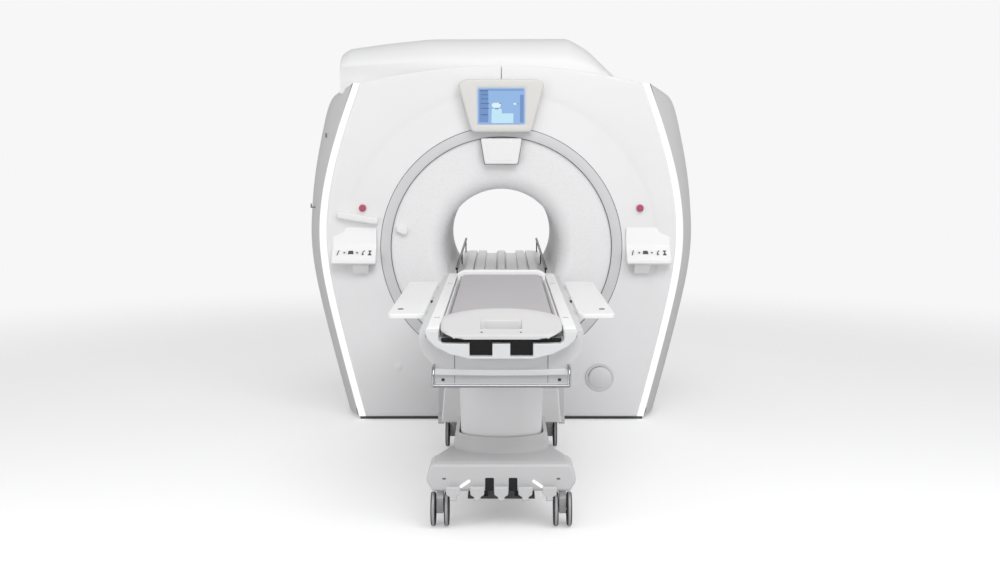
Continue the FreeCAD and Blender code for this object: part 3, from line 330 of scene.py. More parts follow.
def curveThrough(places, values, wanted):
    # smooth curve through a few points: cubic pieces with even slope and bend where they meet, straight at
    # the ends
    places, values = np.array(places, float), np.array(values, float)
    step, rise = np.diff(places), np.diff(values)
    count = len(places)
    system, right = np.eye(count), np.zeros(count)
    for k in range(1, count - 1):
        system[k, k - 1:k + 2] = step[k - 1], 2 * (step[k - 1] + step[k]), step[k]
        right[k] = 6 * (rise[k] / step[k] - rise[k - 1] / step[k - 1])
    bend = np.linalg.solve(system, right)
    k = np.clip(np.searchsorted(places, wanted) - 1, 0, count - 2)
    before, after, width = wanted - places[k], places[k + 1] - wanted, step[k]
    return (bend[k] * after ** 3 + bend[k + 1] * before ** 3) / (6 * width) \
        + (values[k] / width - bend[k] * width / 6) * after \
        + (values[k + 1] / width - bend[k + 1] * width / 6) * before


def softCorners(corners, radius, steps=7):
    # each corner becomes an arc that touches both of its sides; radius is one number or one per corner
    corners = np.array(corners, float)
    radii = np.broadcast_to(radius, len(corners))
    points = []
    for corner, before, after, wanted in zip(corners, np.roll(corners, 1, 0), np.roll(corners, -1, 0),
                                             radii):
        back, ahead = before - corner, after - corner
        backLength, aheadLength = np.hypot(*back), np.hypot(*ahead)
        back, ahead = back / backLength, ahead / aheadLength
        half = math.acos(float(np.clip(back @ ahead, -1, 1))) / 2
        reach = min(wanted / math.tan(half), 0.49 * backLength, 0.49 * aheadLength)
        if reach < 1e-6:
            points.append(corner)
            continue
        start, end = corner + back * reach, corner + ahead * reach
        share = np.linspace(0, 1, steps)[:, None]
        # the arc is drawn as a weighted quadratic curve, exact for a circle
        weight = math.sin(half)
        top = (1 - share) ** 2 * start + 2 * share * (1 - share) * weight * corner + share ** 2 * end
        points.extend(top / ((1 - share) ** 2 + 2 * share * (1 - share) * weight + share ** 2))
    return np.array(points)


def insetOutline(outline, distance):
    # every point moves inwards square to the outline, by more at a corner, so the sides stay parallel
    ahead = np.roll(outline, -1, 0) - outline
    ahead /= np.hypot(ahead[:, 0], ahead[:, 1])[:, None]
    normals = np.stack([-ahead[:, 1], ahead[:, 0]], axis=1)
    twoSides = normals + np.roll(normals, 1, 0)
    shift = twoSides / np.maximum(0.4, (twoSides * normals).sum(1))[:, None]
    x, y = outline.T
    area = (x * np.roll(y, -1) - np.roll(x, -1) * y).sum()
    return outline + shift * distance * np.sign(area)


def outlineOf(corners, radius, steps=7):
    # gives the rounded outline pulled in by any distance: the sharp corners move, then their radii shrink
    # or grow
    corners = np.array(corners, float)
    radii = np.array(np.broadcast_to(radius, len(corners)), float)
    before, after = corners - np.roll(corners, 1, 0), np.roll(corners, -1, 0) - corners
    turn = before[:, 0] * after[:, 1] - before[:, 1] * after[:, 0]
    x, y = corners.T
    area = (x * np.roll(y, -1) - np.roll(x, -1) * y).sum()
    bulge = np.where(turn * area > 0, -1.0, 1.0)
    return lambda inset: softCorners(insetOutline(corners, inset),
                                     np.maximum(0.0004, radii + bulge * inset), steps)


def closedDense(outline, count=10):
    # extra points along each side of a closed outline
    ahead = np.roll(outline, -1, 0)
    share = np.linspace(0, 1, count, endpoint=False)[None, :, None]
    return (outline[:, None] + (ahead - outline)[:, None] * share).reshape(-1, 2)


def alongRays(outline, inner, middle):
    # for each inner point, the outline's point in the same direction from the middle
    turn = np.arctan2(outline[:, 1] - middle[1], outline[:, 0] - middle[0])
    order = np.argsort(turn)
    wanted = np.arctan2(inner[:, 1] - middle[1], inner[:, 0] - middle[0])
    found = [np.interp(wanted, turn[order], outline[order, k], period=2 * np.pi) for k in (0, 1)]
    return np.stack(found, axis=1)


def ringFaces(rings, points, closedPath, closedRing=True):
    # quads between neighbouring rings, from the grid of point numbers
    number = np.arange(rings * points).reshape(rings, points)
    ahead = np.roll(number, -1, 0) if closedPath else number[1:]
    here = number if closedPath else number[:-1]
    across, aheadAcross = np.roll(here, -1, 1), np.roll(ahead, -1, 1)
    quads = np.stack([here, across, aheadAcross, ahead], axis=-1)
    if not closedRing:
        quads = quads[:, :-1]
    return quads.reshape(-1, 4).tolist()


def addPiece(name, points, faces, finish, body, stands=(), sharp=35):
    mesh = bpy.data.meshes.new(name)
    mesh.from_pydata(np.asarray(points, float).reshape(-1, 3).tolist(), [], faces)
    work = bmesh.new()
    work.from_mesh(mesh)
    bmesh.ops.remove_doubles(work, verts=work.verts, dist=0.00002)
    bmesh.ops.recalc_face_normals(work, faces=work.faces)
    work.to_mesh(mesh)
    work.free()
    mesh.shade_smooth()
    mesh.set_sharp_from_angle(angle=math.radians(sharp))
    mesh.materials.append(finishes[finish])
    piece = bpy.data.objects.new(name, mesh)
    bpy.context.scene.collection.objects.link(piece)
    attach(piece, body)
    if stands:
        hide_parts(*stands)
    return piece


def loft(name, rings, finish, body, stands=(), closedPath=False, sharp=35):
    # rings: path x around x 3; open paths are capped at both ends
    rings = np.asarray(rings, float)
    count, around = rings.shape[:2]
    faces = ringFaces(count, around, closedPath)
    if not closedPath:
        faces += [list(range(around))[::-1], list(range((count - 1) * around, count * around))]
    return addPiece(name, rings, faces, finish, body, stands, sharp)


def fullTurn(count):
    return np.arange(count) * 2 * np.pi / count


def lathe(name, profile, centre, axis, finish, body, stands=(), turns=96, sharp=35):
    # a profile of (radius, place along the axis) turned about the axis through centre
    profile = np.array(profile, float)
    angle = fullTurn(turns)
    ring = np.stack([np.cos(angle), np.sin(angle)], axis=1)
    flat = profile[:, None, :1] * ring[None]
    height = np.repeat(profile[:, 1:2], turns, axis=1)[..., None]
    order = {"x": (2, 0, 1), "y": (0, 2, 1), "z": (0, 1, 2)}[axis]
    points = np.concatenate([flat, height], axis=2)[..., list(order)] + np.array(centre)
    return loft(name, points, finish, body, stands, sharp=sharp)


def facingFront(base):
    # local (across, up, out of the front) to the part's frame; base is the Y that "out" is measured from
    return lambda a, b, c: np.stack([a, base - c, b], axis=-1)


def facingUp(base):
    return lambda a, b, c: np.stack([a, b, base + c], axis=-1)


def roundedEdge(edge, steps):
    # a quarter circle over an edge: how far in each point is, and how far short of the face
    turn = np.linspace(0, np.pi / 2, steps)
    return [(edge * (1 - math.cos(t)), edge * (1 - math.sin(t))) for t in turn]


def moulding(name, outline, depth, edge, place, finish, body, stands=(), backEdge=0.0, sharp=35, steps=6):
    # a plate whose outline is pulled in along a quarter circle at its front edge, and at its back edge if
    # asked
    levels = [(inset, depth - short) for inset, short in roundedEdge(edge, steps)]
    levels.append((edge + min(0.003, 0.5 * edge), depth))
    if backEdge:
        start = [(short, inset) for inset, short in roundedEdge(backEdge, steps)]
        levels = [(backEdge + min(0.003, 0.5 * backEdge), 0.0)] + start + levels
    else:
        levels = [(0.0, 0.0)] + levels
    rings = []
    for inset, height in levels:
        ring = outline(inset) if callable(outline) else insetOutline(outline, inset)
        rings.append(place(ring[:, 0], ring[:, 1], np.full(len(ring), height)))
    return loft(name, rings, finish, body, stands, sharp=sharp)


def carried(name, profile, start, end, edge, place, spare, finish, body, stands=(), sharp=35):
    # a section taken from start to end with both ends rounded; spare closes the ends a little further in
    first = [(0.0, edge + spare)] + [(short, inset) for inset, short in roundedEdge(edge, 5)[::-1]]
    way = np.sign(end - start)
    rings = [place(profile(inset), start + way * step) for step, inset in first]
    rings += [place(profile(inset), end - way * step) for step, inset in first[::-1]]
    return loft(name, rings, finish, body, stands, sharp=sharp)


def turnedRings(section, x, z, angle):
    # a section of (radius, Y) set round the point (x, z) at each angle
    section = np.array(section)
    return np.stack([x + np.cos(angle)[:, None] * section[None, :, 0],
                     np.repeat(section[None, :, 1], len(angle), 0),
                     z + np.sin(angle)[:, None] * section[None, :, 0]], axis=-1)



def tubeAlong(path, radius, around=20):
    # rings square to the path, turned as little as possible from one to the next
    path = np.asarray(path, float)
    ahead = np.gradient(path, axis=0)
    ahead /= np.linalg.norm(ahead, axis=1)[:, None]
    first = np.cross(ahead[0], (0.0, 0.0, 1.0) if abs(ahead[0][2]) < 0.9 else (1.0, 0.0, 0.0))
    sides = []
    for way in ahead:
        first = first - way * (first @ way)
        first = first / np.linalg.norm(first)
        sides.append(first)
    sides = np.array(sides)
    ups = np.cross(ahead, sides)
    angle = fullTurn(around)
    return path[:, None] + radius * (np.cos(angle)[None, :, None] * sides[:, None]
                                     + np.sin(angle)[None, :, None] * ups[:, None])


def mirrored(points):
    # the right-hand half of an outline, then the same points on the left in reverse
    points = np.array(points, float)
    return np.concatenate([points, points[::-1] * (-1, 1)])


def rectangle(x, up, halfWide, halfTall):
    return [(x - halfWide, up - halfTall), (x + halfWide, up - halfTall),
            (x + halfWide, up + halfTall), (x - halfWide, up + halfTall)]


# ---- the covers' common outline

axisHeight = 1.05  # height of the tube's axis
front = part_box("front_cover_right")[0].y
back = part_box("rear_cover")[1].y
covers = {
    "heights": (0.022, 0.659, 1.090, 1.607, 2.030),
    "halfWidths": (0.826, 0.984, 1.050, 0.978, 0.838),
    "crown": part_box("front_cover_right")[1].z,
    "holeRadius": 0.712,
    "creaseRadius": 0.94,  # a soft crease runs round the ring at this radius
    "creaseRise": 0.016,  # the corners outside it come forward by this much
    "creaseWidth": 0.030,
    "edge": 0.010,
    "rim": 0.070,
    "wall": 0.006,
    "seam": 0.002,
    "strip": 0.042,
    "spread": 0.088,
    "swell": 0.300,
    "shoulder": 0.068,  # further out near the top, from the shoulder height up
    "shoulderFrom": 1.25,
    "stripProfile": ((0.0005, 0.028), (0.0005, -0.002), (0.006, -0.0065), (0.021, -0.008), (0.036, -0.0065),
                     # out from the front cover, back from the front plane
                     (0.0415, -0.002), (0.0415, 0.028)),
    "reliefReach": 0.10,  # how far outside the crease the corners' slope dies out
    "skinEnd": 0.060,  # the side covers end this far short of the back
    "topFall": 0.075,  # how far their top edge falls below the front cover's
    "topFallFrom": 0.90,
    "tuck": 0.2,  # how much of the swell they lose again towards the back
    "lip": (0.850, 2.029),  # where their top lip ends beside the hood
    "lipFront": 0.034,  # further out at the front, to clear the lit bar
    "lipThin": 0.02,
}


def halfWidth(height):
    # half width of the front cover, along a curve through five heights
    return curveThrough(covers["heights"], covers["halfWidths"], height)


def coverOutline(steps=90):
    # right half, from the middle of the crown, down the side, to the middle of the foot
    head, high, crown = covers["halfWidths"][-1], covers["heights"][-1], covers["crown"]
    radius = ((crown - high) ** 2 + head ** 2) / (2 * (crown - high))
    x = np.linspace(covers["seam"], head, steps // 2, endpoint=False)
    top = np.stack([x, crown - radius + np.sqrt(radius ** 2 - x ** 2)], axis=1)
    z = np.linspace(high, covers["heights"][0], steps)
    flank = np.stack([halfWidth(z), z], axis=1)
    x = np.linspace(covers["halfWidths"][0], covers["seam"], steps // 2)[1:]
    foot = np.stack([x, np.full(len(x), covers["heights"][0])], axis=1)
    return np.concatenate([top, flank, foot])


def frontCover(side, word):
    # polar grid about the tube's axis: from the ring's hole out to the outline, then back round the rim;
    # beyond the crease the face comes forward, by a smooth step and a slope that dies out
    outline = coverOutline()
    across, up = outline[:, 0], outline[:, 1] - axisHeight
    reach = np.hypot(across, up)
    way = np.stack([across / reach, up / reach], axis=1)
    hole = covers["holeRadius"]
    edge, wall = covers["edge"], covers["wall"]
    share = np.linspace(0, 1, 26)
    span = reach[:, None] - edge - hole
    radius = hole + share[None] * span

    def relief(r):
        t = np.clip((r - covers["creaseRadius"]) / covers["creaseWidth"] + 0.5, 0, 1)
        slope = 1 - np.exp(-np.maximum(0, r - covers["creaseRadius"]) / covers["reliefReach"])
        return covers["creaseRise"] * (0.35 * t * t * (3 - 2 * t) + 0.65 * slope)

    face = np.stack([radius, front - relief(radius)], axis=-1)
    turn = np.linspace(0, np.pi / 2, 6)[1:]
    lip = np.stack([reach[:, None] - edge + edge * np.sin(turn)[None],
                    (front - relief(reach - edge))[:, None] + edge * (1 - np.cos(turn))[None]], axis=-1)
    rim = ((reach, covers["rim"]), (reach - wall, covers["rim"]), (reach - wall, edge),
           (reach * 0 + hole, wall))
    behind = np.stack([np.stack([out, np.full_like(reach, front + depth)], axis=-1) for out, depth in rim],
                      axis=1)
    section = np.concatenate([face, lip, behind], axis=1)
    x = way[:, None, 0] * section[..., 0]
    x = np.maximum(x, covers["seam"]) * side
    z = axisHeight + way[:, None, 1] * section[..., 0]
    rings = np.stack([x, section[..., 1], z], axis=-1)
    loft("frontCover" + word, rings, "cover_white", "magnet", ["front_cover_" + word.lower()], sharp=50)


def sideSkin(side, word):
    # stations from front to back; at each the outline is moved outwards by a share of the swell
    low, high = covers["heights"][0], covers["heights"][-1]
    z = np.linspace(low, high, 60)
    swell, length = covers["swell"], back - covers["skinEnd"] - front
    depth = np.concatenate([swell * np.linspace(0, 1, 14) ** 1.4, np.linspace(swell, length, 14)[1:]])
    behind = np.maximum(0, (depth - swell) / (length - swell))
    share = np.where(depth < swell, np.sin(np.minimum(1, depth / swell) * np.pi / 2),
                     1 - covers["tuck"] * behind ** 1.3)
    topShare = np.clip(((z - low) / (high - low) - covers["topFallFrom"]) / (1 - covers["topFallFrom"]), 0,
                       1) ** 2
    lift = np.clip((z - covers["shoulderFrom"]) / (high - covers["shoulderFrom"]), 0, 1) ** 1.3
    reach = np.linspace(0, 1, 9)[1:]
    lipX, lipZ = covers["lip"]
    rings = []
    for y, part in zip(front + depth, share):
        half = halfWidth(z) + covers["strip"] + (covers["spread"] + covers["shoulder"] * lift) * part
        height = z - covers["topFall"] * part * topShare
        # a lip from the top edge in to the hood, rising as it goes
        lipHalf = half[-1] + (lipX + covers["lipFront"] * (1 - part) - half[-1]) * reach
        lipHeight = height[-1] + (lipZ - height[-1]) * np.sin(reach * np.pi / 2)
        half, height = np.concatenate([half, lipHalf]), np.concatenate([height, lipHeight])
        inward = np.clip((half - lipHalf[-1]) / covers["lipThin"], 0, 1) * covers["wall"]
        under = covers["wall"] * (np.arange(len(half)) >= len(z) - 1)
        outer = np.stack([side * half, np.full_like(half, y), height], axis=1)
        inner = np.stack([side * (half - inward), np.full_like(half, y), height - under], axis=1)
        rings.append(np.concatenate([outer, inner[::-1]]))
    loft("sideCover" + word, rings, "side_grey", "magnet", ["side_cover_" + word.lower()], sharp=50)


def litStrip(side, word):
    # a slightly crowned bar between front cover and side cover
    z = np.linspace(covers["heights"][0], covers["heights"][-1], 90)
    half = halfWidth(z)
    rings = [np.stack([side * (half + out), np.full_like(z, front + drop), z], axis=1)
             for out, drop in covers["stripProfile"]]
    loft("ledStrip" + word, np.transpose(rings, (1, 0, 2)), "light_strip", "magnet",
         ["led_strip_" + word.lower()],
         sharp=60)


hood = {
    "corners": ((-0.966, 1.972), (-0.966, 2.232), (-0.918, 2.262), (-0.700, 2.294), (-0.440, 2.322),
                (0.405, 2.325), (0.530, 2.253), (0.640, 2.135), (0.700, 2.072), (0.835, 2.040),
                (0.845, 2.034)),
    "rounds": (0.004, 0.030, 0.06, 0.4, 0.8, 0.07, 0.4, 0.2, 0.06, 0.01, 0.004),
    "front": 0.0703,  # behind the front plane
    # depth behind its front, share of the full height there
    "rise": ((0.0, 0.46), (0.02, 0.60), (0.06, 0.76), (0.12, 0.88), (0.20, 0.95), (0.32, 0.99), (0.42, 1.0),
             (1.588, 1.0)),
}


def topHood():
    # one outline carried from front to back, its height growing from the front cover's edge to full
    outline = softCorners(hood["corners"], hood["rounds"], steps=9)
    low = hood["corners"][-1][1]
    rings = []
    for depth, part in hood["rise"]:
        z = np.where(outline[:, 1] > low, low + (outline[:, 1] - low) * part, outline[:, 1])
        rings.append(np.stack([outline[:, 0], np.full(len(z), front + hood["front"] + depth), z], axis=1))
    loft("topCover", rings, "cover_white", "magnet", ["top_cover"], sharp=50)


for side, word in sides:
    frontCover(side, word)
    sideSkin(side, word)
    litStrip(side, word)
topHood()
print("covers made")


# ---- ring, display, light and buttons

ring = {"outer": 0.724, "inner": 0.665, "proud": 0.006, "depth": 0.030, "edge": 0.003, "crown": 0.0012,
        "split": 0.0015, "gapShade": 0.0035, "gapShadeDepth": 0.012}


def trimRing():
    # turned band with small rounds on both edges, and a dark ring of painted shade in the gap inside and
    # outside it
    y, e = front - ring["proud"], ring["edge"]
    inner, outer, far = ring["inner"], ring["outer"], y + ring["depth"]
    profile = [(inner, far), (inner, y + e), (inner + 0.3 * e, y + 0.3 * e), (inner + e, y),
               (0.5 * (inner + outer), y - ring["crown"]), (outer - e, y), (outer - 0.3 * e, y + 0.3 * e),
               (outer, y + e), (outer, far)]
    # its two ends meet at the top, with a hairline split between them
    angle = np.linspace(np.pi / 2 + ring["split"], 5 * np.pi / 2 - ring["split"], 241)
    loft("trimRing", turnedRings(profile, 0, axisHeight, angle), "ring_grey", "magnet", ["trim_ring"])
    g, deep = ring["gapShade"] / 2, ring["gapShadeDepth"]
    for name, radius, start in (("ringGapShadeOuter", outer + g, front - 0.0006),
                                ("ringGapShadeInner", inner - g, front + 0.004)):
        section = [(radius - g, start + deep), (radius - g, start), (radius + g, start),
                   (radius + g, start + deep)]
        loft(name, turnedRings(section, 0, axisHeight, fullTurn(240)), "gap_shade_grey", "magnet",
             closedPath=True)


display = {
    "corners": ((0.176, 1.735), (0.240, 1.965), (0.256, 2.030), (0.215, 2.049)),
    "rounds": (0.03, 0.2, 0.026, 0.08),
    "arch": 0.006,
    "stand": 0.0065,  # its back stands this far out from the front plane
    "depth": 0.070,
    "edge": 0.014,
    "screen": (0.138, 1.789, 1.997),  # half width, foot and head of the window
    "frame": 0.012,
    # the frame round the window: share of its width, height over the face
    "frameSteps": ((1.25, 0.0022), (1.0, 0.0012), (0.15, -0.004), (0.0, -0.0045), (0.0, -0.0085)),
}


def displayHousing():
    # tapered outline whose top edge is slightly arched; the window is a second outline let into the front
    rounds = display["rounds"]
    outline = softCorners(mirrored(display["corners"]), rounds + rounds[::-1], steps=8)
    bow = 1 - (outline[:, 0] / display["corners"][2][0]) ** 2
    outline[:, 1] += display["arch"] * bow * np.where(outline[:, 1] > 1.9, 1, 1.6)
    half, low, high = display["screen"]
    place = facingFront(front - display["stand"])
    middle = np.array([0.0, (low + high) / 2])
    window = softCorners(rectangle(0, middle[1], half, (high - low) / 2), 0.008, steps=6)
    hole = alongRays(closedDense(window, 12), outline, middle)
    depth, edge = display["depth"], display["edge"]
    levels = [(outline, 0.0)]
    levels += [(insetOutline(outline, inset), depth - short) for inset, short in roundedEdge(edge, 7)]
    levels.append((insetOutline(outline, edge + 0.003), depth + 0.0003))
    for share, height in display["frameSteps"]:
        levels.append((middle + (hole - middle) * (1 + share * display["frame"] / half), depth + height))
    levels.append((hole, 0.004))
    rings = [place(shape[:, 0], shape[:, 1], np.full(len(shape), height)) for shape, height in levels]
    loft("displayHousing", rings, "housing_grey", "magnet", ["display_housing"], sharp=40)


# tone, across, up, half width, half height, corner: in shares of the screen's half width and height
picture = (
    ("band", -0.77, 0.0, 0.20, 0.94, 0.02), ("band", 0.90, -0.15, 0.08, 0.80, 0.02),
    ("band", 0.0, 0.93, 0.97, 0.035, 0.01), ("bar", -0.76, 0.88, 0.17, 0.030, 0.01),
    ("bar", -0.74, 0.66, 0.15, 0.025, 0.01), ("bar", -0.74, 0.42, 0.15, 0.025, 0.01),
    ("bar", -0.72, 0.15, 0.19, 0.025, 0.01), ("bar", -0.72, -0.13, 0.19, 0.025, 0.01),
    ("bar", -0.74, -0.50, 0.15, 0.030, 0.01), ("pale", 0.05, -0.70, 0.48, 0.28, 0.02),
    ("figure", -0.22, 0.05, 0.20, 0.14, 0.10), ("pale", -0.20, -0.30, 0.22, 0.16, 0.06),
    ("mark", -0.20, -0.16, 0.08, 0.025, 0.01), ("figure", 0.60, 0.13, 0.07, 0.05, 0.03),
    ("mark", 0.72, 0.13, 0.06, 0.015, 0.01), ("mark", -0.05, 0.15, 0.05, 0.02, 0.01),
)


def screenPicture():
    # the lit picture: flat shapes over the glass, each a thin slab with rounded corners, one in front of
    # the other
    half, low, high = display["screen"]
    middle, tall = (low + high) / 2, (high - low) / 2
    glass = outlineOf(rectangle(0, middle, half, tall), 0.006, steps=5)
    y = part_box("display_screen")[0].y
    moulding("displayGlass", glass, 0.006, 0.0008, facingFront(y + 0.006), "screen_glass", "magnet",
             ["display_screen"])
    for number, (tone, across, up, halfWide, halfTall, corner) in enumerate(picture):
        shape = np.array(rectangle(across, up, halfWide, halfTall)) * (half * 0.97, tall * 0.97)
        shape = shape + (0, middle)
        moulding("screenShape%02d" % number, outlineOf(shape, corner * half, steps=4), 0.0003, 0.0001,
                 facingFront(y - 0.00005 * (number + 1)), "screen_" + tone, "magnet", steps=2)


lamp = {"low": (0.098, 1.552), "high": (0.1235, 1.706), "back": 0.038, "depth": 0.068, "edge": 0.010,
        "round": 0.012,
        "gapShade": 0.003, "gapShadeDepth": 0.050, "panel": ((0.074, 1.572), (0.094, 1.688)),
        "panelRise": 0.0018}


def lightHousing():
    # tapered housing over the bore, a thin dark ring of painted shade in the gap round its foot and a raised
    # panel on its face
    place = facingFront(front + lamp["back"])
    (lowX, lowZ), (highX, highZ), g = lamp["low"], lamp["high"], lamp["gapShade"]
    outline = outlineOf(mirrored([(lowX, lowZ), (highX, highZ)]), lamp["round"], steps=8)
    moulding("lightHousing", outline, lamp["depth"], lamp["edge"], place, "housing_white", "magnet",
             ["light_housing"])
    gapShade = outlineOf(mirrored([(lowX + g, lowZ - g), (highX + g, highZ)]), lamp["round"])
    moulding("lightGapShade", gapShade, lamp["gapShadeDepth"], 0.002, place, "gap_shade_grey", "magnet", steps=3)
    panel = outlineOf(mirrored(lamp["panel"]), 0.008, steps=6)
    moulding("lightPanel", panel, lamp["depth"] + lamp["panelRise"], 0.002, place, "housing_white",
             "magnet", steps=4)


keypad = {
    "profile": ((0.0, 1.175), (0.003, 1.170), (0.020, 1.062), (0.100, 0.988), (0.102, 0.966),
                (0.090, 0.958),
                (0.0, 0.958)),
    "rounds": (0.002, 0.010, 0.030, 0.008, 0.006, 0.006, 0.002),
    "bracket": ((0.0, 0.9575), (0.080, 0.9575), (0.034, 0.898), (0.0, 0.898)),
    "bracketWidth": 0.092,
    "bracketInset": 0.048,
    "edge": 0.006,
    "keys": 6,
    "keyStep": 0.038,
    "keySize": (0.030, 0.034),
    "markSize": (1.35, 1.15),  # the marks below are drawn at this scale
    # a slanted bar, a dot, a wide block, a dot, a chevron and a lozenge
    "marks": (((-0.006, -0.017), (-0.001, -0.017), (0.006, 0.017), (0.001, 0.017)),
              ((0.0, -0.007), (0.006, 0.0), (0.0, 0.007), (-0.006, 0.0)),
              ((-0.013, -0.010), (0.013, -0.010), (0.010, 0.014), (-0.010, 0.014)),
              ((0.0, -0.007), (0.006, 0.0), (0.0, 0.007), (-0.006, 0.0)),
              ((-0.007, -0.016), (0.002, -0.016), (-0.001, 0.0), (0.007, 0.016), (0.001, 0.016),
               (-0.006, 0.0)),
              ((-0.009, -0.017), (0.009, -0.017), (0.002, 0.0), (0.008, 0.016), (-0.008, 0.016),
               (-0.002, 0.0))),
}


def acrossFront(section, x):
    # a section of (out from the front, up), at one place across
    return np.stack([np.full(len(section), x), front - section[:, 0], section[:, 1]], axis=1)


def alongTable(section, y):
    # a section of (across, up), at one place between foot and head
    return np.stack([section[:, 0], np.full(len(section), y), section[:, 1]], axis=1)


def controlPanel(side, word):
    # sloped keypad on a tapered bracket, with raised keys and a small mark on each
    node = "control_panel_" + word.lower()
    low, high = (corner.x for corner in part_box(node))
    profile = outlineOf(keypad["profile"], keypad["rounds"], steps=6)
    carried("controlPanel" + word, profile, low, high, keypad["edge"], acrossFront, 0.002, "board_white",
            "magnet",
            [node])
    inner = min(abs(low), abs(high)) + keypad["bracketInset"]
    start, end = sorted((side * inner, side * (inner + keypad["bracketWidth"])))
    bracket = outlineOf(keypad["bracket"], 0.006, steps=5)
    carried("panelBracket" + word, bracket, start, end, 0.005, acrossFront, 0.002, "housing_white",
            "magnet")
    slopeFoot, slopeHead = np.array(keypad["profile"][3]), np.array(keypad["profile"][2])
    along = (slopeHead - slopeFoot) / np.hypot(*(slopeHead - slopeFoot))
    outward = np.abs(along[::-1])

    def onSlope(a, b, c):
        y, z = ((slopeFoot + slopeHead)[k] / 2 + along[k] * b + outward[k] * c for k in (0, 1))
        return np.stack([a, front - y, z], axis=-1)

    keyWide, keyTall = keypad["keySize"]
    for number in range(keypad["keys"]):
        x = (low + high) / 2 + (number - (keypad["keys"] - 1) / 2) * keypad["keyStep"]
        name = "key%s%d0" % (word, number)
        cap = outlineOf(rectangle(x, 0, keyWide / 2, keyTall / 2), 0.004, steps=4)
        moulding(name, cap, 0.0016, 0.0008, onSlope, "housing_white", "magnet", steps=3)
        mark = outlineOf(np.array(keypad["marks"][number]) * keypad["markSize"] + (x, 0), 0.0016, steps=4)
        moulding(name + "Mark", mark, 0.0019, 0.0001, onSlope, "glyph_dark", "magnet", steps=2)


# sections of (radius, back from the front plane)
port = {
    "place": (0.598, 0.259),
    "bezel": ((0.0700, 0.000), (0.0712, -0.012), (0.0735, -0.0140), (0.0800, -0.0146), (0.0862, -0.0125),
              (0.0885, -0.008), (0.0885, 0.004), (0.0700, 0.004)),
    "cap": ((0.0002, 0.004), (0.0678, 0.004), (0.0678, -0.012), (0.0665, -0.0150), (0.0630, -0.0168),
            (0.0500, -0.0200), (0.0350, -0.0235), (0.0180, -0.0252), (0.0002, -0.0256)),
    "shade": ((0.0670, 0.003), (0.0670, -0.004), (0.0708, -0.004), (0.0708, 0.003)),
}


def servicePort():
    # domed cap in a rounded bezel, with a dark ring of painted shade between them
    x, z = port["place"]
    centre = (x, front, z)
    bezel = np.array(port["bezel"]) + (0, front)
    loft("portBezel", turnedRings(bezel, x, z, fullTurn(96)), "ring_grey", "magnet", ["port_bezel"],
         closedPath=True)
    lathe("portCap", port["cap"], centre, "y", "cover_grey", "magnet", ["port_cap"])
    lathe("portShadowRing", port["shade"], centre, "y", "gap_shade_grey", "magnet")


fittings = {
    "collar": ((0.0195, 0.004), (0.0195, -0.003), (0.0205, -0.0050), (0.0225, -0.0058), (0.0245, -0.0045),
               (0.0255, -0.002), (0.0255, 0.004)),
    "stops": (0.831, 1.290),
    "bump": (-0.628, 0.320),
    "bumpRadius": 0.034,
    "bumpRise": 0.012,
    "grip": ((-0.632, 1.166), (-0.562, 1.143)),
    "gripHeight": 0.044,
    "railHeights": (0.046, 0.042),
}


def frontTrims():
    # pink collars round the stop buttons, the half-round button low on the left, the grip inside the ring
    x, z = fittings["stops"]
    for side, word in sides:
        lathe("stopCollar" + word, fittings["collar"], (side * x, front, z), "y", "halo_pink", "magnet",
              turns=48)
    x, z = fittings["bump"]
    radius = fittings["bumpRadius"]
    dome = [(0.0002, 0.006), (radius, 0.006)]
    dome += [(radius * math.cos(t) + 0.0002, -fittings["bumpRise"] * math.sin(t))
             for t in np.linspace(0, np.pi / 2, 8)]
    lathe("coverButton", dome, (x, front, z), "y", "cover_white", "magnet", turns=48)
    (x0, z0), (x1, z1) = fittings["grip"]
    half = fittings["gripHeight"] / 2
    grip = outlineOf([(x0, z0 - half), (x1, z1 - half), (x1, z1 + half), (x0, z0 + half)], 0.020)
    moulding("flareGrip", grip, 0.110, 0.010, facingFront(front + 0.100), "housing_white", "magnet")
    low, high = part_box("accessory_shelf")
    outer, inner = fittings["railHeights"]
    rail = outlineOf([(low.x, high.z - outer), (high.x, low.z), (high.x, low.z + inner), (low.x, high.z)],
                     0.014)
    moulding("handRail", rail, front - low.y, 0.012, facingFront(front), "housing_white", "magnet",
             ["accessory_shelf"])


bridge = {
    "top": 0.856,
    # right half of the section above the sole: across, down from the deck's top, round
    "deck": ((0.290, 0.006, 0.006), (0.236, 0.0, 0.02), (0.186, 0.0, 0.004), (0.184, 0.018, 0.002),
             (0.174, 0.018, 0.002),
             (0.172, 0.0, 0.004), (0.112, 0.0, 0.004), (0.110, 0.020, 0.004), (0.036, 0.020, 0.010),
             (0.024, 0.0, 0.014)),
    "rod": 0.008,
    "rodFar": (0.272, 0.948),
    "rodNear": (0.270, 0.920),
    "posts": (0.04, 0.5, 0.96),
    "postSize": (0.004, 0.02),
}


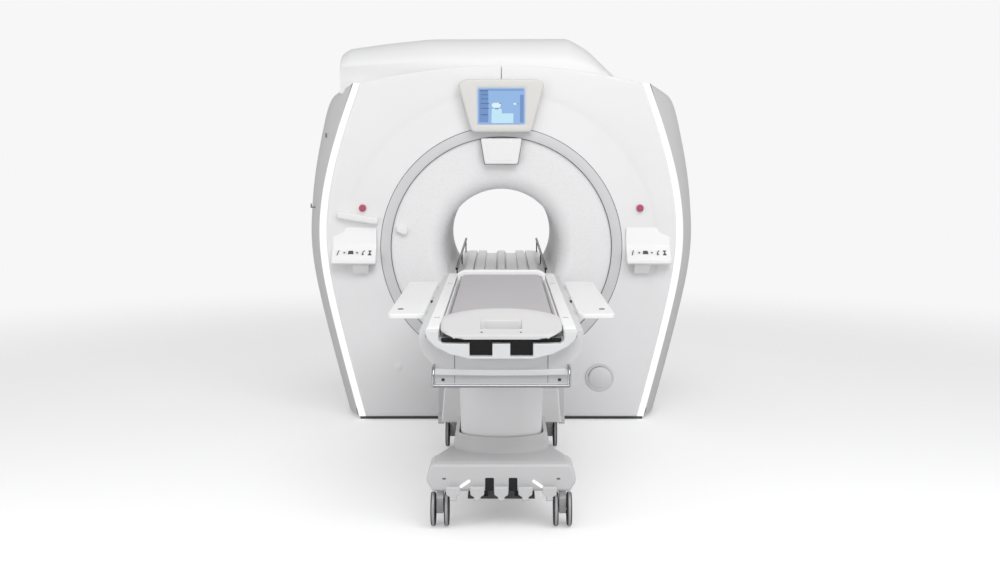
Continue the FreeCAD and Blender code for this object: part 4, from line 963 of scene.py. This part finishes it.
def boreBridge():
    # the ribbed deck through the tube, a rounded rib along its middle and a black guide rod along each side
    low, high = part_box("bore_bridge")
    top = bridge["top"]
    half = [(0.282, low.z + 0.030), (0.290, low.z + 0.060)]
    half += [(x, top - down) for x, down, tight in bridge["deck"]]
    rounds = (0.02, 0.02) + tuple(part[2] for part in bridge["deck"])
    section = outlineOf(mirrored(half), rounds + rounds[::-1], steps=5)
    carried("boreBridge", section, low.y, high.y, 0.0012, alongTable, 0.001, "bridge_grey", "magnet",
            ["bore_bridge"])
    share = np.linspace(0, 1, 9)[:, None]
    (farX, farZ), (nearX, nearZ), sole = bridge["rodFar"], bridge["rodNear"], top - 0.004
    for side, word in sides:
        near = np.array([(side * nearX, low.y + 0.045, nearZ)])
        far = np.array([(side * farX, high.y - 0.012, farZ)])
        line = near * (1 - share) + far * share
        loft("guideRod" + word, tubeAlong(line, bridge["rod"], 16), "rod_black_and_painted_shade", "magnet", sharp=60)
        for number, part in enumerate(bridge["posts"]):
            x, y, z = line[0] * (1 - part) + line[-1] * part
            post = outlineOf(rectangle(x, y, *bridge["postSize"]), 0.003, steps=4)
            moulding("guidePost%s%d" % (word, number), post, z - sole, 0.001, facingUp(sole),
                     "rod_black_and_painted_shade", "magnet",
                     steps=3)


for step in (trimRing, displayHousing, screenPicture, lightHousing, servicePort, frontTrims):
    step()
for side, word in sides:
    controlPanel(side, word)
print("front fittings made")


# ---- table

table = {
    "fascia": ((0.133, 0.775), (0.215, 0.795), (0.275, 0.826), (0.310, 0.860), (0.3185, 0.892),
               (0.262, 0.892),
               (0.262, 0.852), (0.246, 0.838), (0.133, 0.838), (0.133, 0.784), (0.037, 0.784),
               (0.037, 0.838)),
    "fasciaRounds": (0.03, 0.05, 0.05, 0.04, 0.004, 0.004, 0.006, 0.008, 0.003, 0.004, 0.004, 0.003),
    "fasciaEdge": 0.003,
    "railProfile": ((0.2605, 0.8575), (0.3165, 0.8575), (0.3165, 0.892), (0.309, 0.8995), (0.2605, 0.8995)),
    "railMarks": ((0.285, -1.45), (0.285, -2.86)),
    "recess": ((0.145, 0.7815), (0.252, 0.834), (0.252, 0.8565)),
}
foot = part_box("cradle_shell")[0].y
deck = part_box("cradle_shell")[0].z
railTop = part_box("side_rail_right")[1].z


def footFascia():
    # one outline carried forward; at the front edge it is pulled in along a quarter circle all round
    low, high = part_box("foot_fascia")
    rounds = table["fasciaRounds"] + table["fasciaRounds"][::-1]
    outline = outlineOf(mirrored(table["fascia"]), rounds, steps=6)
    moulding("footFascia", outline, high.y - low.y, table["fasciaEdge"], facingFront(high.y),
             "fascia_grey", "table_top",
             ["foot_fascia"], steps=4)
    # painted shade of the room behind: a black sheet over the pockets and the gap under the cradle
    moulding("recessPaintedShade", mirrored(table["recess"]), 0.004, 0.0005, facingFront(high.y - 0.001),
             "rod_black_and_painted_shade",
             "table_top", steps=2)


def sideRail(side, word):
    node = "side_rail_" + word.lower()
    low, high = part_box(node)
    profile = outlineOf(np.array(table["railProfile"]) * (side, 1), (0.002, 0.003, 0.008, 0.010, 0.004),
                        steps=6)
    carried("sideRail" + word, profile, low.y, high.y, 0.003, alongTable, 0.001, "rail_grey", "table_top",
            [node])
    for number, (x, y) in enumerate(table["railMarks"]):
        mark = outlineOf(rectangle(side * x, y, 0.013, 0.004), 0.003, steps=4)
        moulding("railMark%s%d" % (word, number), mark, 0.0004, 0.0001, facingUp(railTop), "mark_grey",
                 "table_top",
                 steps=2)


tray = {"half": 0.2545, "wall": 0.014, "draft": 0.004, "floor": 0.876, "start": 0.228}
cap = {
    "deep": 0.232,  # length from the foot to the cushion
    "low": 0.8745,  # height at the foot
    "rise": 0.072,  # over the rails, where the slope would end
    "slopeLength": 0.205,
    "crownFall": 0.036,  # the upper edge's arch across
    "blend": 0.004,
    "backFrom": 0.208,  # where it turns down to the cushion
    "cornerCut": 0.058,
    "edge": 0.007,
    "slot": (0.086, 0.046, 0.104),  # half width, and both ends from the foot
    "slotRound": 0.012,
    "slotWall": 0.004,
    "panelDeep": 0.0016,  # the shallow panel above the slot
    "panelEnd": 0.186,
    "screw": (0.082, 0.022),
    "screwRadius": 0.0045,
    "rim": ((0.250, 0.020), (0.250, 0.938), (0.215, 0.957)),
}


def cradleTray():
    # U section with rounded lips, carried along the whole bed
    half, wall, draft, floor = tray["half"], tray["wall"], tray["draft"], tray["floor"]
    section = outlineOf([(-half, deck), (half, deck), (half, railTop), (half - wall, railTop),
                         (half - wall - draft, floor),
                         (draft + wall - half, floor), (wall - half, railTop), (-half, railTop)],
                        (0.006, 0.006, 0.006, 0.006, 0.004, 0.004, 0.006, 0.006), steps=6)
    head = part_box("cradle_shell")[1].y
    carried("cradleTray", section, foot + tray["start"], head, 0.002, alongTable, 0.001, "cradle_grey",
            "cradle",
            ["cradle_shell"])


def smoothStep(value):
    value = np.clip(value, 0, 1)
    return value * value * (3 - 2 * value)


def capHeight(across, depth, share, narrow):
    # a slope and an arch meet softly; the far end turns down, side and foot edges are rounded, the slot is
    # sunk
    slope = cap["low"] + (railTop + cap["rise"] - cap["low"]) * depth / cap["slopeLength"]
    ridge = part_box("cradle_shell")[1].z - 0.0005 - cap["crownFall"] * share ** 2.4
    z = slope - cap["blend"] * np.log(1 + np.exp((slope - ridge) / cap["blend"]))
    drop = np.clip((depth - cap["backFrom"]) / (cap["deep"] - cap["backFrom"]), 0, 1)
    z = z - (z - railTop + 0.004) * (1 - np.sqrt(np.maximum(0, 1 - drop ** 2)))
    edge = cap["edge"]
    sideFall = np.clip((np.abs(across) - (tray["half"] - narrow - edge)) / edge, 0, 1)
    footFall = np.clip((edge - depth) / edge, 0, 1)
    z = z - edge * (1 - np.sqrt(1 - sideFall ** 2)) - edge * (1 - np.sqrt(1 - footFall ** 2))
    slotHalf, slotLow, slotHigh = cap["slot"]
    tight = cap["slotRound"]
    out = np.hypot(np.maximum(0, np.abs(across) - (slotHalf - tight)),
                   np.maximum(0,
                              np.abs(depth - (slotLow + slotHigh) / 2) - ((slotHigh - slotLow) / 2 - tight)))
    sink = smoothStep((tight + 0.0015 - out) / cap["slotWall"])
    z = z * (1 - sink) + (deck + 0.006) * sink
    panel = np.clip((slotHalf + 0.006 - np.abs(across)) / 0.005, 0, 1)
    panel = panel * np.clip((depth - slotHigh - 0.004) / 0.006, 0,
                            1) * np.clip((cap["panelEnd"] - depth) / 0.006, 0, 1)
    return np.maximum(z - cap["panelDeep"] * panel, deck + 0.006)


def cradleCap():
    # sloping foot end: rows from the foot up the slope, over the crowned edge and down to the cushion,
    # each row an
    # arch across; the lower corners are cut back
    u = np.concatenate([np.linspace(-1, -0.36, 18), np.linspace(-0.345, 0.345, 29),
                        np.linspace(0.36, 1, 18)])
    t = np.unique(np.concatenate([np.linspace(0, 0.010, 7), np.linspace(0.014, 0.200, 44),
                                  np.linspace(0.203, cap["deep"], 14)]))
    share, depth = np.meshgrid(np.abs(u), t)
    fall = railTop + cap["rise"] - cap["low"]
    below = (railTop - cap["low"] - fall * depth / cap["slopeLength"]) / (railTop - cap["low"])
    narrow = np.clip(below, 0, 1) ** 1.5 * cap["cornerCut"]
    across = u[None] * (tray["half"] - narrow)
    z = capHeight(across, depth, share, narrow)
    sole = np.minimum(z - 0.003, deck + 0.0004 + 0.030 * np.clip((share - 0.80) / 0.2, 0, 1))
    rows, columns = share.shape
    faces = ringFaces(rows, columns, False, closedRing=False)
    count = rows * columns
    faces += [[count + k for k in face][::-1] for face in faces]
    number = np.arange(count).reshape(rows, columns)
    border = np.concatenate([number[0], number[1:, -1], number[-1, ::-1][1:], number[::-1, 0][1:-1]])
    after = np.roll(border, -1)
    faces += np.stack([border, after, after + count, border + count], axis=1).tolist()
    points = [np.stack([across, foot + depth, height], axis=-1).reshape(-1, 3) for height in (z, sole)]
    addPiece("cradleCap", np.concatenate(points), faces, "cap_grey", "cradle", sharp=55)
    x, back = cap["screw"]
    height = cap["low"] + fall * back / cap["slopeLength"]
    turn = fullTurn(16)
    for side, word in sides:
        disc = np.stack([np.cos(turn), np.sin(turn)], axis=1) * cap["screwRadius"] + (side * x, foot + back)
        moulding("capScrew" + word, disc, 0.0030, 0.0006, facingUp(height - 0.001), "mark_grey", "cradle",
                 steps=3)
    # raised rim behind the head of the cushion
    (x, rise), side, top = cap["rim"]
    rim = outlineOf([(-x, deck + rise), (x, deck + rise), side, top, (-top[0], top[1]),
                     (-side[0], side[1])],
                    (0.004, 0.004, 0.012, 0.05, 0.05, 0.012), steps=6)
    place = facingFront(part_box("cushion")[1].y + 0.036)
    moulding("cradleHeadRim", rim, 0.034, 0.010, place, "board_white", "cradle", backEdge=0.008)


cushionShape = {
    "inset": 0.004,
    "corner": 0.03,
    "edge": 0.014,
    "crown": 0.004,  # the top's rise over its edge
    "crownReach": 0.17,
    "welt": 0.0022,
    "voxel": 0.006,
    "pressure": 4,
    "frames": 20,
    "cap": 0.006,  # furthest that the filling may push the cover out
}


def cushionPad():
    # rounded slab with a low crown; in the full run it is remeshed and inflated as cloth, by a few
    # millimetres at most
    low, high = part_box("cushion")
    inset, edge, height = cushionShape["inset"], cushionShape["edge"], high.z - low.z
    corners = [(high.x, low.y), (high.x, high.y), (-high.x, high.y), (-high.x, low.y)]
    outline = outlineOf(corners, cushionShape["corner"])
    levels = [(edge * (1 - math.cos(turn)) + inset, height / 2 + (height / 2 - 0.006) * math.sin(turn))
              for turn in np.linspace(-np.pi / 2, np.pi / 2, 13)]
    for more in (0.02, 0.05, 0.09, 0.13, 0.17):
        swell = cushionShape["crown"] * math.sin(more / cushionShape["crownReach"] * np.pi / 2)
        levels.append((edge + inset + more, height - 0.006 + swell))
    rings = []
    for distance, level in levels:
        ring = outline(distance)
        rings.append(np.column_stack([ring, np.full(len(ring), low.z + level)]))
    pad = loft("cushionPad", rings, "pad_fabric", "cradle", ["cushion"], sharp=80)
    inflate(pad, low, high)
    # welt: a thin piping round the upper edge
    welt = outline(inset + 0.0035)
    path = np.column_stack([welt, np.full(len(welt), low.z + height - 0.0135)])
    loft("cushionWelt", roundPath(path, cushionShape["welt"]), "pad_fabric", "cradle", closedPath=True)


def roundPath(path, radius, around=10):
    # a tube round a closed flat path
    ahead = np.roll(path, -1, 0) - np.roll(path, 1, 0)
    ahead /= np.linalg.norm(ahead, axis=1)[:, None]
    outward = np.cross(ahead, (0, 0, 1.0))
    angle = fullTurn(around)
    return path[:, None] + radius * (np.cos(angle)[None, :, None] * outward[:, None]
                                     + np.sin(angle)[None, :, None] * np.array((0, 0, 1.0)))


def inflate(pad, low, high):
    # cloth under pressure for a few frames; how far each point moved is then held within the cap and the
    # pad's box
    work = bpy.data.objects.new("padWork", pad.data.copy())
    scene = bpy.context.scene
    scene.collection.objects.link(work)
    bpy.context.view_layer.objects.active = work
    remesh = work.modifiers.new("remesh", "REMESH")
    remesh.mode, remesh.voxel_size = "VOXEL", cushionShape["voxel"]
    bpy.ops.object.modifier_apply(modifier="remesh")
    before = np.empty(len(work.data.vertices) * 3)
    work.data.vertices.foreach_get("co", before)
    cloth = work.modifiers.new("cloth", "CLOTH")
    cloth.settings.use_pressure = True
    cloth.settings.uniform_pressure_force = cushionShape["pressure"]
    cloth.settings.effector_weights.gravity = 0
    cloth.point_cache.frame_start, cloth.point_cache.frame_end = 1, cushionShape["frames"]
    for step in range(1, cushionShape["frames"] + 1):
        scene.frame_set(step)
    bpy.ops.object.modifier_apply(modifier="cloth")
    scene.frame_set(1)
    after = np.empty(len(before))
    work.data.vertices.foreach_get("co", after)
    before, after = before.reshape(-1, 3), after.reshape(-1, 3)
    move = after - before
    length = np.linalg.norm(move, axis=1)[:, None]
    move *= np.minimum(1, cushionShape["cap"] / np.maximum(length, 1e-9))
    after = before + move
    after[:, 0] = np.clip(after[:, 0], low.x, high.x)
    after[:, 1] = np.clip(after[:, 1], low.y, high.y)
    after[:, 2] = np.clip(after[:, 2], low.z + 0.0005, high.z + 0.003)
    work.data.vertices.foreach_set("co", after.ravel())
    finer = work.modifiers.new("finer", "SUBSURF")
    finer.levels = finer.render_levels = 1
    bpy.ops.object.modifier_apply(modifier="finer")
    fresh = work.data
    fresh.shade_smooth()
    fresh.materials.clear()
    fresh.materials.append(finishes["pad_fabric"])
    pad.data = fresh
    bpy.data.objects.remove(work)


board = {
    "corner": 0.035,
    "latchPlace": (0.468, 0.16),
    "latch": ((0.0002, 0.0), (0.014, 0.0), (0.014, 0.003), (0.012, 0.0042), (0.0002, 0.0046)),
}


def armBoard(side, word):
    # flat board with rounded corners and edges, and a round latch on top
    node, body = "arm_board_" + word.lower(), "arm_" + word.lower()
    low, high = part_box(node)
    corners = [(high.x, low.y), (high.x, high.y), (low.x, high.y), (low.x, low.y)]
    outline = outlineOf(corners, board["corner"], steps=8)
    moulding("armBoard" + word, outline, high.z - low.z, 0.006, facingUp(low.z), "board_white", body,
             [node],
             backEdge=0.004)
    x, y = board["latchPlace"]
    lathe("boardLatch" + word, board["latch"], (side * x, low.y + y, high.z - 0.0006), "z", "mark_grey",
          body, turns=32)


bar = {"radius": 0.0070, "bend": 0.045}


def pushBar():
    # chromed tube: across the foot end, bending up and back into the frame at both sides
    low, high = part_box("push_bar")
    radius, bend = bar["radius"], bar["bend"]
    half, y, z, top = high.x - radius, low.y + radius, low.z + radius, high.z - radius
    turns = np.linspace(0, np.pi / 2, 9)
    right = [(half, high.y, top), (half, y + bend, top)]
    right += [(half, y + bend - (bend - 0.004) * math.sin(t),
               z + (top - z) * math.cos(t)) for t in turns[1:-1]]
    right += [(half - bend * (1 - math.cos(t)), y, z) for t in turns]
    path = np.array(right + [(-a, b, c) for a, b, c in right[::-1]])
    loft("pushBar", tubeAlong(path, radius, 24), "bright_bar", "table_top", ["push_bar"], sharp=60)


# heights are above the floor, widths from the middle
tub = {
    "seam": (0.196, 0.727, 0.0012, 0.063),
    "plug": (0.245, 0.678, 0.007, 0.006),
    "ridge": ((0.288, 0.700), (0.292, 0.727)),
    "ridgeSag": 0.004,
    "panel": ((0.278, 0.6625), (0.282, 0.697)),
    "pin": ((0.0002, 0.0), (0.009, 0.0), (0.009, 0.010), (0.0075, 0.012), (0.0002, 0.012)),
    "pinPlace": (0.349, -2.19, 0.883),
}


def tubTrims():
    # a light ridge across the foot of the tub, a band of painted shade under it, two panel seams, two dark
    # plugs and the pins that the boards turn on
    place = facingFront(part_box("table_frame")[0].y)
    for side, word in sides:
        x, z, wide, tall = tub["seam"]
        seam = np.array(rectangle(side * x, z, wide, tall))
        moulding("tubSeam" + word, seam, 0.0012, 0.0002, place, "mark_grey", "table_top", steps=2)
        x, z, wide, tall = tub["plug"]
        plug = outlineOf(rectangle(side * x, z, wide, tall), 0.003, steps=4)
        moulding("tubPlug" + word, plug, 0.0016, 0.0006, place, "dark_trim", "table_top", steps=3)
    # the ridge sags a little towards the middle
    turn = np.linspace(-1, 1, 21)[:, None]
    (lowX, lowZ), (highX, highZ), sag = *tub["ridge"], tub["ridgeSag"] * (1 - turn ** 2)
    ridge = np.concatenate([np.hstack([turn * lowX, lowZ - sag]),
                            np.hstack([turn[::-1] * highX, highZ - sag])])
    moulding("tubRidge", ridge, 0.014, 0.006, place, "fascia_grey", "table_top")
    # a thin darker panel just below the ridge: painted shade where the ridge shades the tub
    (lowX, lowZ), (highX, highZ) = tub["panel"]
    panel = outlineOf([(-lowX, lowZ), (lowX, lowZ), (highX, highZ), (-highX, highZ)], 0.004, steps=5)
    moulding("tubPaintedShade", panel, 0.0006, 0.0003, place, "painted_shade_grey", "table_top", steps=2)
    x, y, z = tub["pinPlace"]
    for side, word in sides:
        lathe("armPin" + word, tub["pin"], (side * x, y, z), "z", "dark_trim", "table_top", turns=24)


for step in (boreBridge, footFascia, cradleTray, cradleCap, cushionPad, pushBar, tubTrims):
    step()
for side, word in sides:
    sideRail(side, word)
    armBoard(side, word)
print("table made")


# ---- column and base

sleeve = {
    # half width, shorter at both ends by, height over its foot
    "foot": ((0.180, 0.016, 0.0), (0.183, 0.013, 0.008)),
    "taper": 0.0125,
    "well": (0.178, 0.018),  # the plan that collar and plates are set out from: half width, shorter by
    "wellGap": 0.0135,
    "gapLine": ((0.0134, 0.3295), (0.0134, 0.3325), (0.0105, 0.3325), (0.0105, 0.3295)),
    "rim": ((0.0190, 0.3592), (0.0170, 0.3597), (0.0148, 0.3588), (0.0135, 0.354), (0.0135, 0.2825)),
    "roundEnd": 0.115,
}
base = {
    "beam": ((0.300, 0.166), (0.327, 0.212), (0.311, 0.271), (0.293, 0.285)),
    "beamRounds": (0.004, 0.03, 0.02, 0.010),
    "beamDeep": 0.165,
    # half widths of the deck and how far behind its near edge they come
    "deck": ((0.290, 0.0), (0.290, 0.145), (0.2135, 0.370)),
    "deckNear": 0.030,
    "deckRounds": (0.004, 0.05, 0.03, 0.01),
    "deckEdge": ((0.0, 0.2555), (0.0, 0.276), (0.002, 0.281), (0.006, 0.2855), (0.012, 0.2875),
                 (0.014, 0.2875)),
    "spineHalf": 0.212,
    "spineNear": 0.161,
    "spineEdge": ((0.0, 0.166), (0.0, 0.275), (0.002, 0.279), (0.006, 0.283), (0.008, 0.283)),
    "slot": (0.051, 0.197, 0.019, 0.029),
    "grip": (0.158, 0.199, 0.028, 0.007),
    "gripLean": 35,
    "mark": (0.248, 0.222, 0.008, 0.004),
    "housing": ((0.3265, 0.006), (0.311, 0.018)),  # half width and round, at foot and top
}


def stadium(half, low, high, z, grow=0.0, steps=24):
    # oblong plan: straight sides with a half ellipse at the foot end and the head end
    turn = np.linspace(0, np.pi, steps)
    half, low, high, deep = half + grow, low - grow, high + grow, sleeve["roundEnd"] + grow
    footEnd = np.stack([half * np.cos(turn + np.pi), low + deep - deep * np.sin(turn)], axis=1)
    headEnd = np.stack([half * np.cos(turn), high - deep + deep * np.sin(turn)], axis=1)
    return np.column_stack([np.concatenate([footEnd, headEnd]), np.full(2 * steps, z)])


def columnSleeve():
    # straight-sided sleeve, a little narrower towards its foot
    low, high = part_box("column_sleeve")
    rings = [stadium(half, low.y + pull, high.y - pull, low.z + up) for half, pull, up in sleeve["foot"]]
    for share in np.linspace(0.06, 1, 9):
        pull = sleeve["taper"] * (1 - share)
        rings.append(stadium(high.x - pull, low.y + pull, high.y - pull, low.z + share * (high.z - low.z)))
    loft("columnSleeve", rings, "sleeve_grey", "table_top", ["column_sleeve"], sharp=50)


def wellPlan(z, grow):
    # the opening round the sleeve, wider by grow
    low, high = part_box("column_sleeve")
    half, shorter = sleeve["well"]
    return stadium(half, low.y + shorter, high.y - shorter, z, grow)


def plate(name, corners, levels, radius):
    # a plate with a well for the sleeve: its outer edge is found along lines from the sleeve's middle
    shape = outlineOf(corners, radius, steps=9)
    well = closedDense(wellPlan(0.0, sleeve["wellGap"])[:, :2], 20)
    low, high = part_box("column_sleeve")
    middle = np.array([0.0, (low.y + high.y) / 2])
    outlines = [(alongRays(closedDense(shape(inset)), well, middle), z) for inset, z in levels]
    outlines += [(well, levels[-1][1]), (well, levels[0][1])]
    rings = [np.column_stack([outline, np.full(len(outline), z)]) for outline, z in outlines]
    loft(name, rings, "base_grey", "table_base", closedPath=True, sharp=50)


def baseCover():
    # crossbeam, deck, spine and collar as mouldings that meet; in the collar's gap round the sleeve a black
    # ring is painted shade
    low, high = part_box("base_cover")
    rounds, deep = base["beamRounds"], base["beamDeep"]
    outline = outlineOf(mirrored(base["beam"]), rounds + rounds[::-1], steps=6)
    moulding("baseBeam", outline, deep, 0.012, facingFront(low.y + deep), "base_grey", "table_base",
             ["base_cover"])
    # the beam's top runs back in a tapering plane to the spine
    near = low.y + base["deckNear"]
    beyond = max(near + 0.46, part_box("column_sleeve")[1].y + 0.045)
    right = [(x, near + y) for x, y in base["deck"]] + [(base["deck"][-1][0] - 0.0003, beyond)]
    rounds = base["deckRounds"]
    plate("baseDeck", mirrored(right), base["deckEdge"], rounds + rounds[::-1])
    half, near = base["spineHalf"], low.y + base["spineNear"]
    plate("baseSpine", [(-half, near), (half, near), (half, high.y), (-half, high.y)], base["spineEdge"],
          0.012)
    # the collar's wall flares outwards in a curve from the rim down to the beam
    plan = [(0.0200 + 0.008 * share ** 1.5 + 0.016 * share ** 7, 0.357 - 0.0745 * share)
            for share in np.linspace(1, 0, 14)]
    # the second piece is a thin black ring: painted shade in the gap round the sleeve
    for name, section, finish in (("sleeveCollar", plan + list(sleeve["rim"]), "collar_grey"),
                                  ("collarGapShade", sleeve["gapLine"], "rod_black_and_painted_shade")):
        loft(name, [wellPlan(z, grow) for grow, z in section], finish, "table_base", closedPath=True,
             sharp=50)
    # slots: flat black sheets of painted shade for the openings beside the middle pedals, and slanted grips
    # further out that glow white as painted light where the floor shows through
    place = facingFront(low.y)
    for side, word in sides:
        x, z, wide, tall = base["slot"]
        slot = outlineOf(rectangle(side * x, z, wide, tall), 0.005, steps=5)
        # a flat black sheet on the face: painted shade of the opening
        moulding("beamSlotPaintedShade" + word, slot, 0.0008, 0.0003, place, "rod_black_and_painted_shade", "table_base", steps=2)
        angle = math.radians(base["gripLean"]) * -side
        turn = np.array([[math.cos(angle), -math.sin(angle)], [math.sin(angle), math.cos(angle)]])
        x, z, wide, tall = base["grip"]
        grip = outlineOf(np.array(rectangle(0, 0, wide, tall)) @ turn.T + (side * x, z), 0.0065, steps=6)
        # the grips glow white: painted light where the floor's white shows through them
        moulding("beamGripPaintedLight" + word, grip, 0.0009, 0.0003, place, "light_strip", "table_base", steps=2)
        x, z, wide, tall = base["mark"]
        mark = outlineOf(rectangle(side * x, z, wide, tall), 0.003, steps=4)
        moulding("beamMark" + word, mark, 0.0008, 0.0003, place, "mark_grey", "table_base", steps=2)


treadle = {
    "tread": ((0.012, 0.136, 0.003), (0.014, 0.150, 0.006), (0.030, 0.160, 0.008), (0.031, 0.194, 0.004)),
    "thick": 0.0060,
    "tip": 0.06,  # share of the length over which both ends are rounded
}


def pedal(number):
    # a tongue from the beam's foot, dipping forward to a flat tread with rounded corners
    node = "pedal_%d" % number
    low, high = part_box(node)
    x, half = (low.x + high.x) / 2, (high.x - low.x) / 2
    line = np.array([(high.y, high.z - 0.012), (high.y - 0.030, high.z - 0.014),
                     (high.y - 0.062, low.z + 0.022),
                     (low.y + 0.030, low.z + 0.008), (low.y, low.z + 0.006)])
    share, place = np.linspace(0, 1, 20), np.linspace(0, 1, len(line))
    rings = []
    for part, y, z in zip(share, curveThrough(place, line[:, 0], share),
                          curveThrough(place, line[:, 1], share)):
        tip = min(1, min(part, 1 - part) / treadle["tip"])
        full = math.sqrt(1 - (1 - tip) ** 2)
        wide = half * (0.86 + 0.14 * part) * (0.62 + 0.38 * full)
        thick = treadle["thick"] * (0.55 + 0.45 * full)
        section = softCorners(rectangle(x, 0, wide, thick), 0.003, steps=5)
        rings.append(np.stack([section[:, 0], np.full(len(section), y), z + section[:, 1]], axis=1))
    loft("footPedal%d" % number, rings, "base_grey", node, [node], sharp=50)
    right, rounds = [(wide, z) for wide, z, tight in treadle["tread"]], [part[2] for part in treadle["tread"]]
    tread = outlineOf(mirrored(right) + (x, 0), rounds + rounds[::-1], steps=5)
    moulding("pedalTread%d" % number, tread, 0.018, 0.005, facingFront(low.y + 0.020), "base_grey", node,
             backEdge=0.003)


# sections by share of the wheel's radius or by metres off it, and by distance from one face or the tread's
# middle
wheel = {
    "clear": 0.0004,
    "width": 0.021,
    "hub": ((0.71, 0.0010), (0.66, 0.0005), (0.60, 0.004), (0.28, 0.005), (0.22, 0.0015)),
    "axle": ((0.0002, -1), (0.006, -1), (0.006, 1), (0.0002, 1)),
}


def casterWheels(name, body):
    # twin wheels: each a tyre with a raised tread and a pale hub, turned about the axle
    low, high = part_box(name)
    radius = (high.z - low.z) / 2 - wheel["clear"]
    centre = ((low.x + high.x) / 2, (low.y + high.y) / 2, (low.z + high.z) / 2)
    width = (high.x - low.x) / 2
    label = "".join(part.capitalize() for part in body.split("_")[1:])
    for side, word in sides:
        outer, inner = side * (width - 0.0003), side * (width - wheel["width"])
        middle = (outer + inner) / 2
        way = np.sign(outer - inner)
        tyre = [(radius * 0.70, inner), (radius - 0.005, inner), (radius - 0.0015, inner + way * 0.003),
                (radius, middle - way * 0.004), (radius, middle + way * 0.004),
                (radius - 0.0015, outer - way * 0.003), (radius - 0.005, outer), (radius * 0.70, outer)]
        lathe("tyre%s%s" % (label, word), tyre, centre, "x", "wheel_rubber", body,
              [name] if side < 0 else [], turns=64)
        tread = [(radius * 0.9, 0.0052), (radius - 0.0002, 0.0052), (radius + 0.0004, 0.004)]
        tread = [(r, middle - off) for r, off in tread] + [(r, middle + off) for r, off in tread[::-1]]
        lathe("tread%s%s" % (label, word), tread, centre, "x", "tread_grey", body, turns=64)
        hub = [(0.0002, inner), (radius * 0.71, inner)]
        hub += [(radius * share, outer - way * back) for share, back in wheel["hub"]]
        hub.append((0.0002, outer - way * 0.0010))
        lathe("hub%s%s" % (label, word), hub, centre, "x", "hub_grey", body, turns=64)
    axle = [(r, end * (width - 0.02)) for r, end in wheel["axle"]]
    lathe("axle" + label, axle, centre, "x", "bright_steel", body, turns=24)


def rearHousing():
    low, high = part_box("rear_housing")
    (footHalf, footRound), (topHalf, topRound) = base["housing"]
    outline = outlineOf([(-footHalf, low.z), (footHalf, low.z), (topHalf, high.z), (-topHalf, high.z)],
                        (footRound, footRound, topRound, topRound))
    moulding("rearHousing", outline, high.y - low.y, 0.010, facingFront(high.y), "housing_white",
             "table_base",
             ["rear_housing"])


columnSleeve()
baseCover()
rearHousing()
for number in range(1, 6):
    pedal(number)
for end in ("front", "rear"):
    for hand in ("left", "right"):
        casterWheels("caster_wheels_%s_%s" % (end, hand), "wheels_%s_%s" % (end, hand))
print("base made")
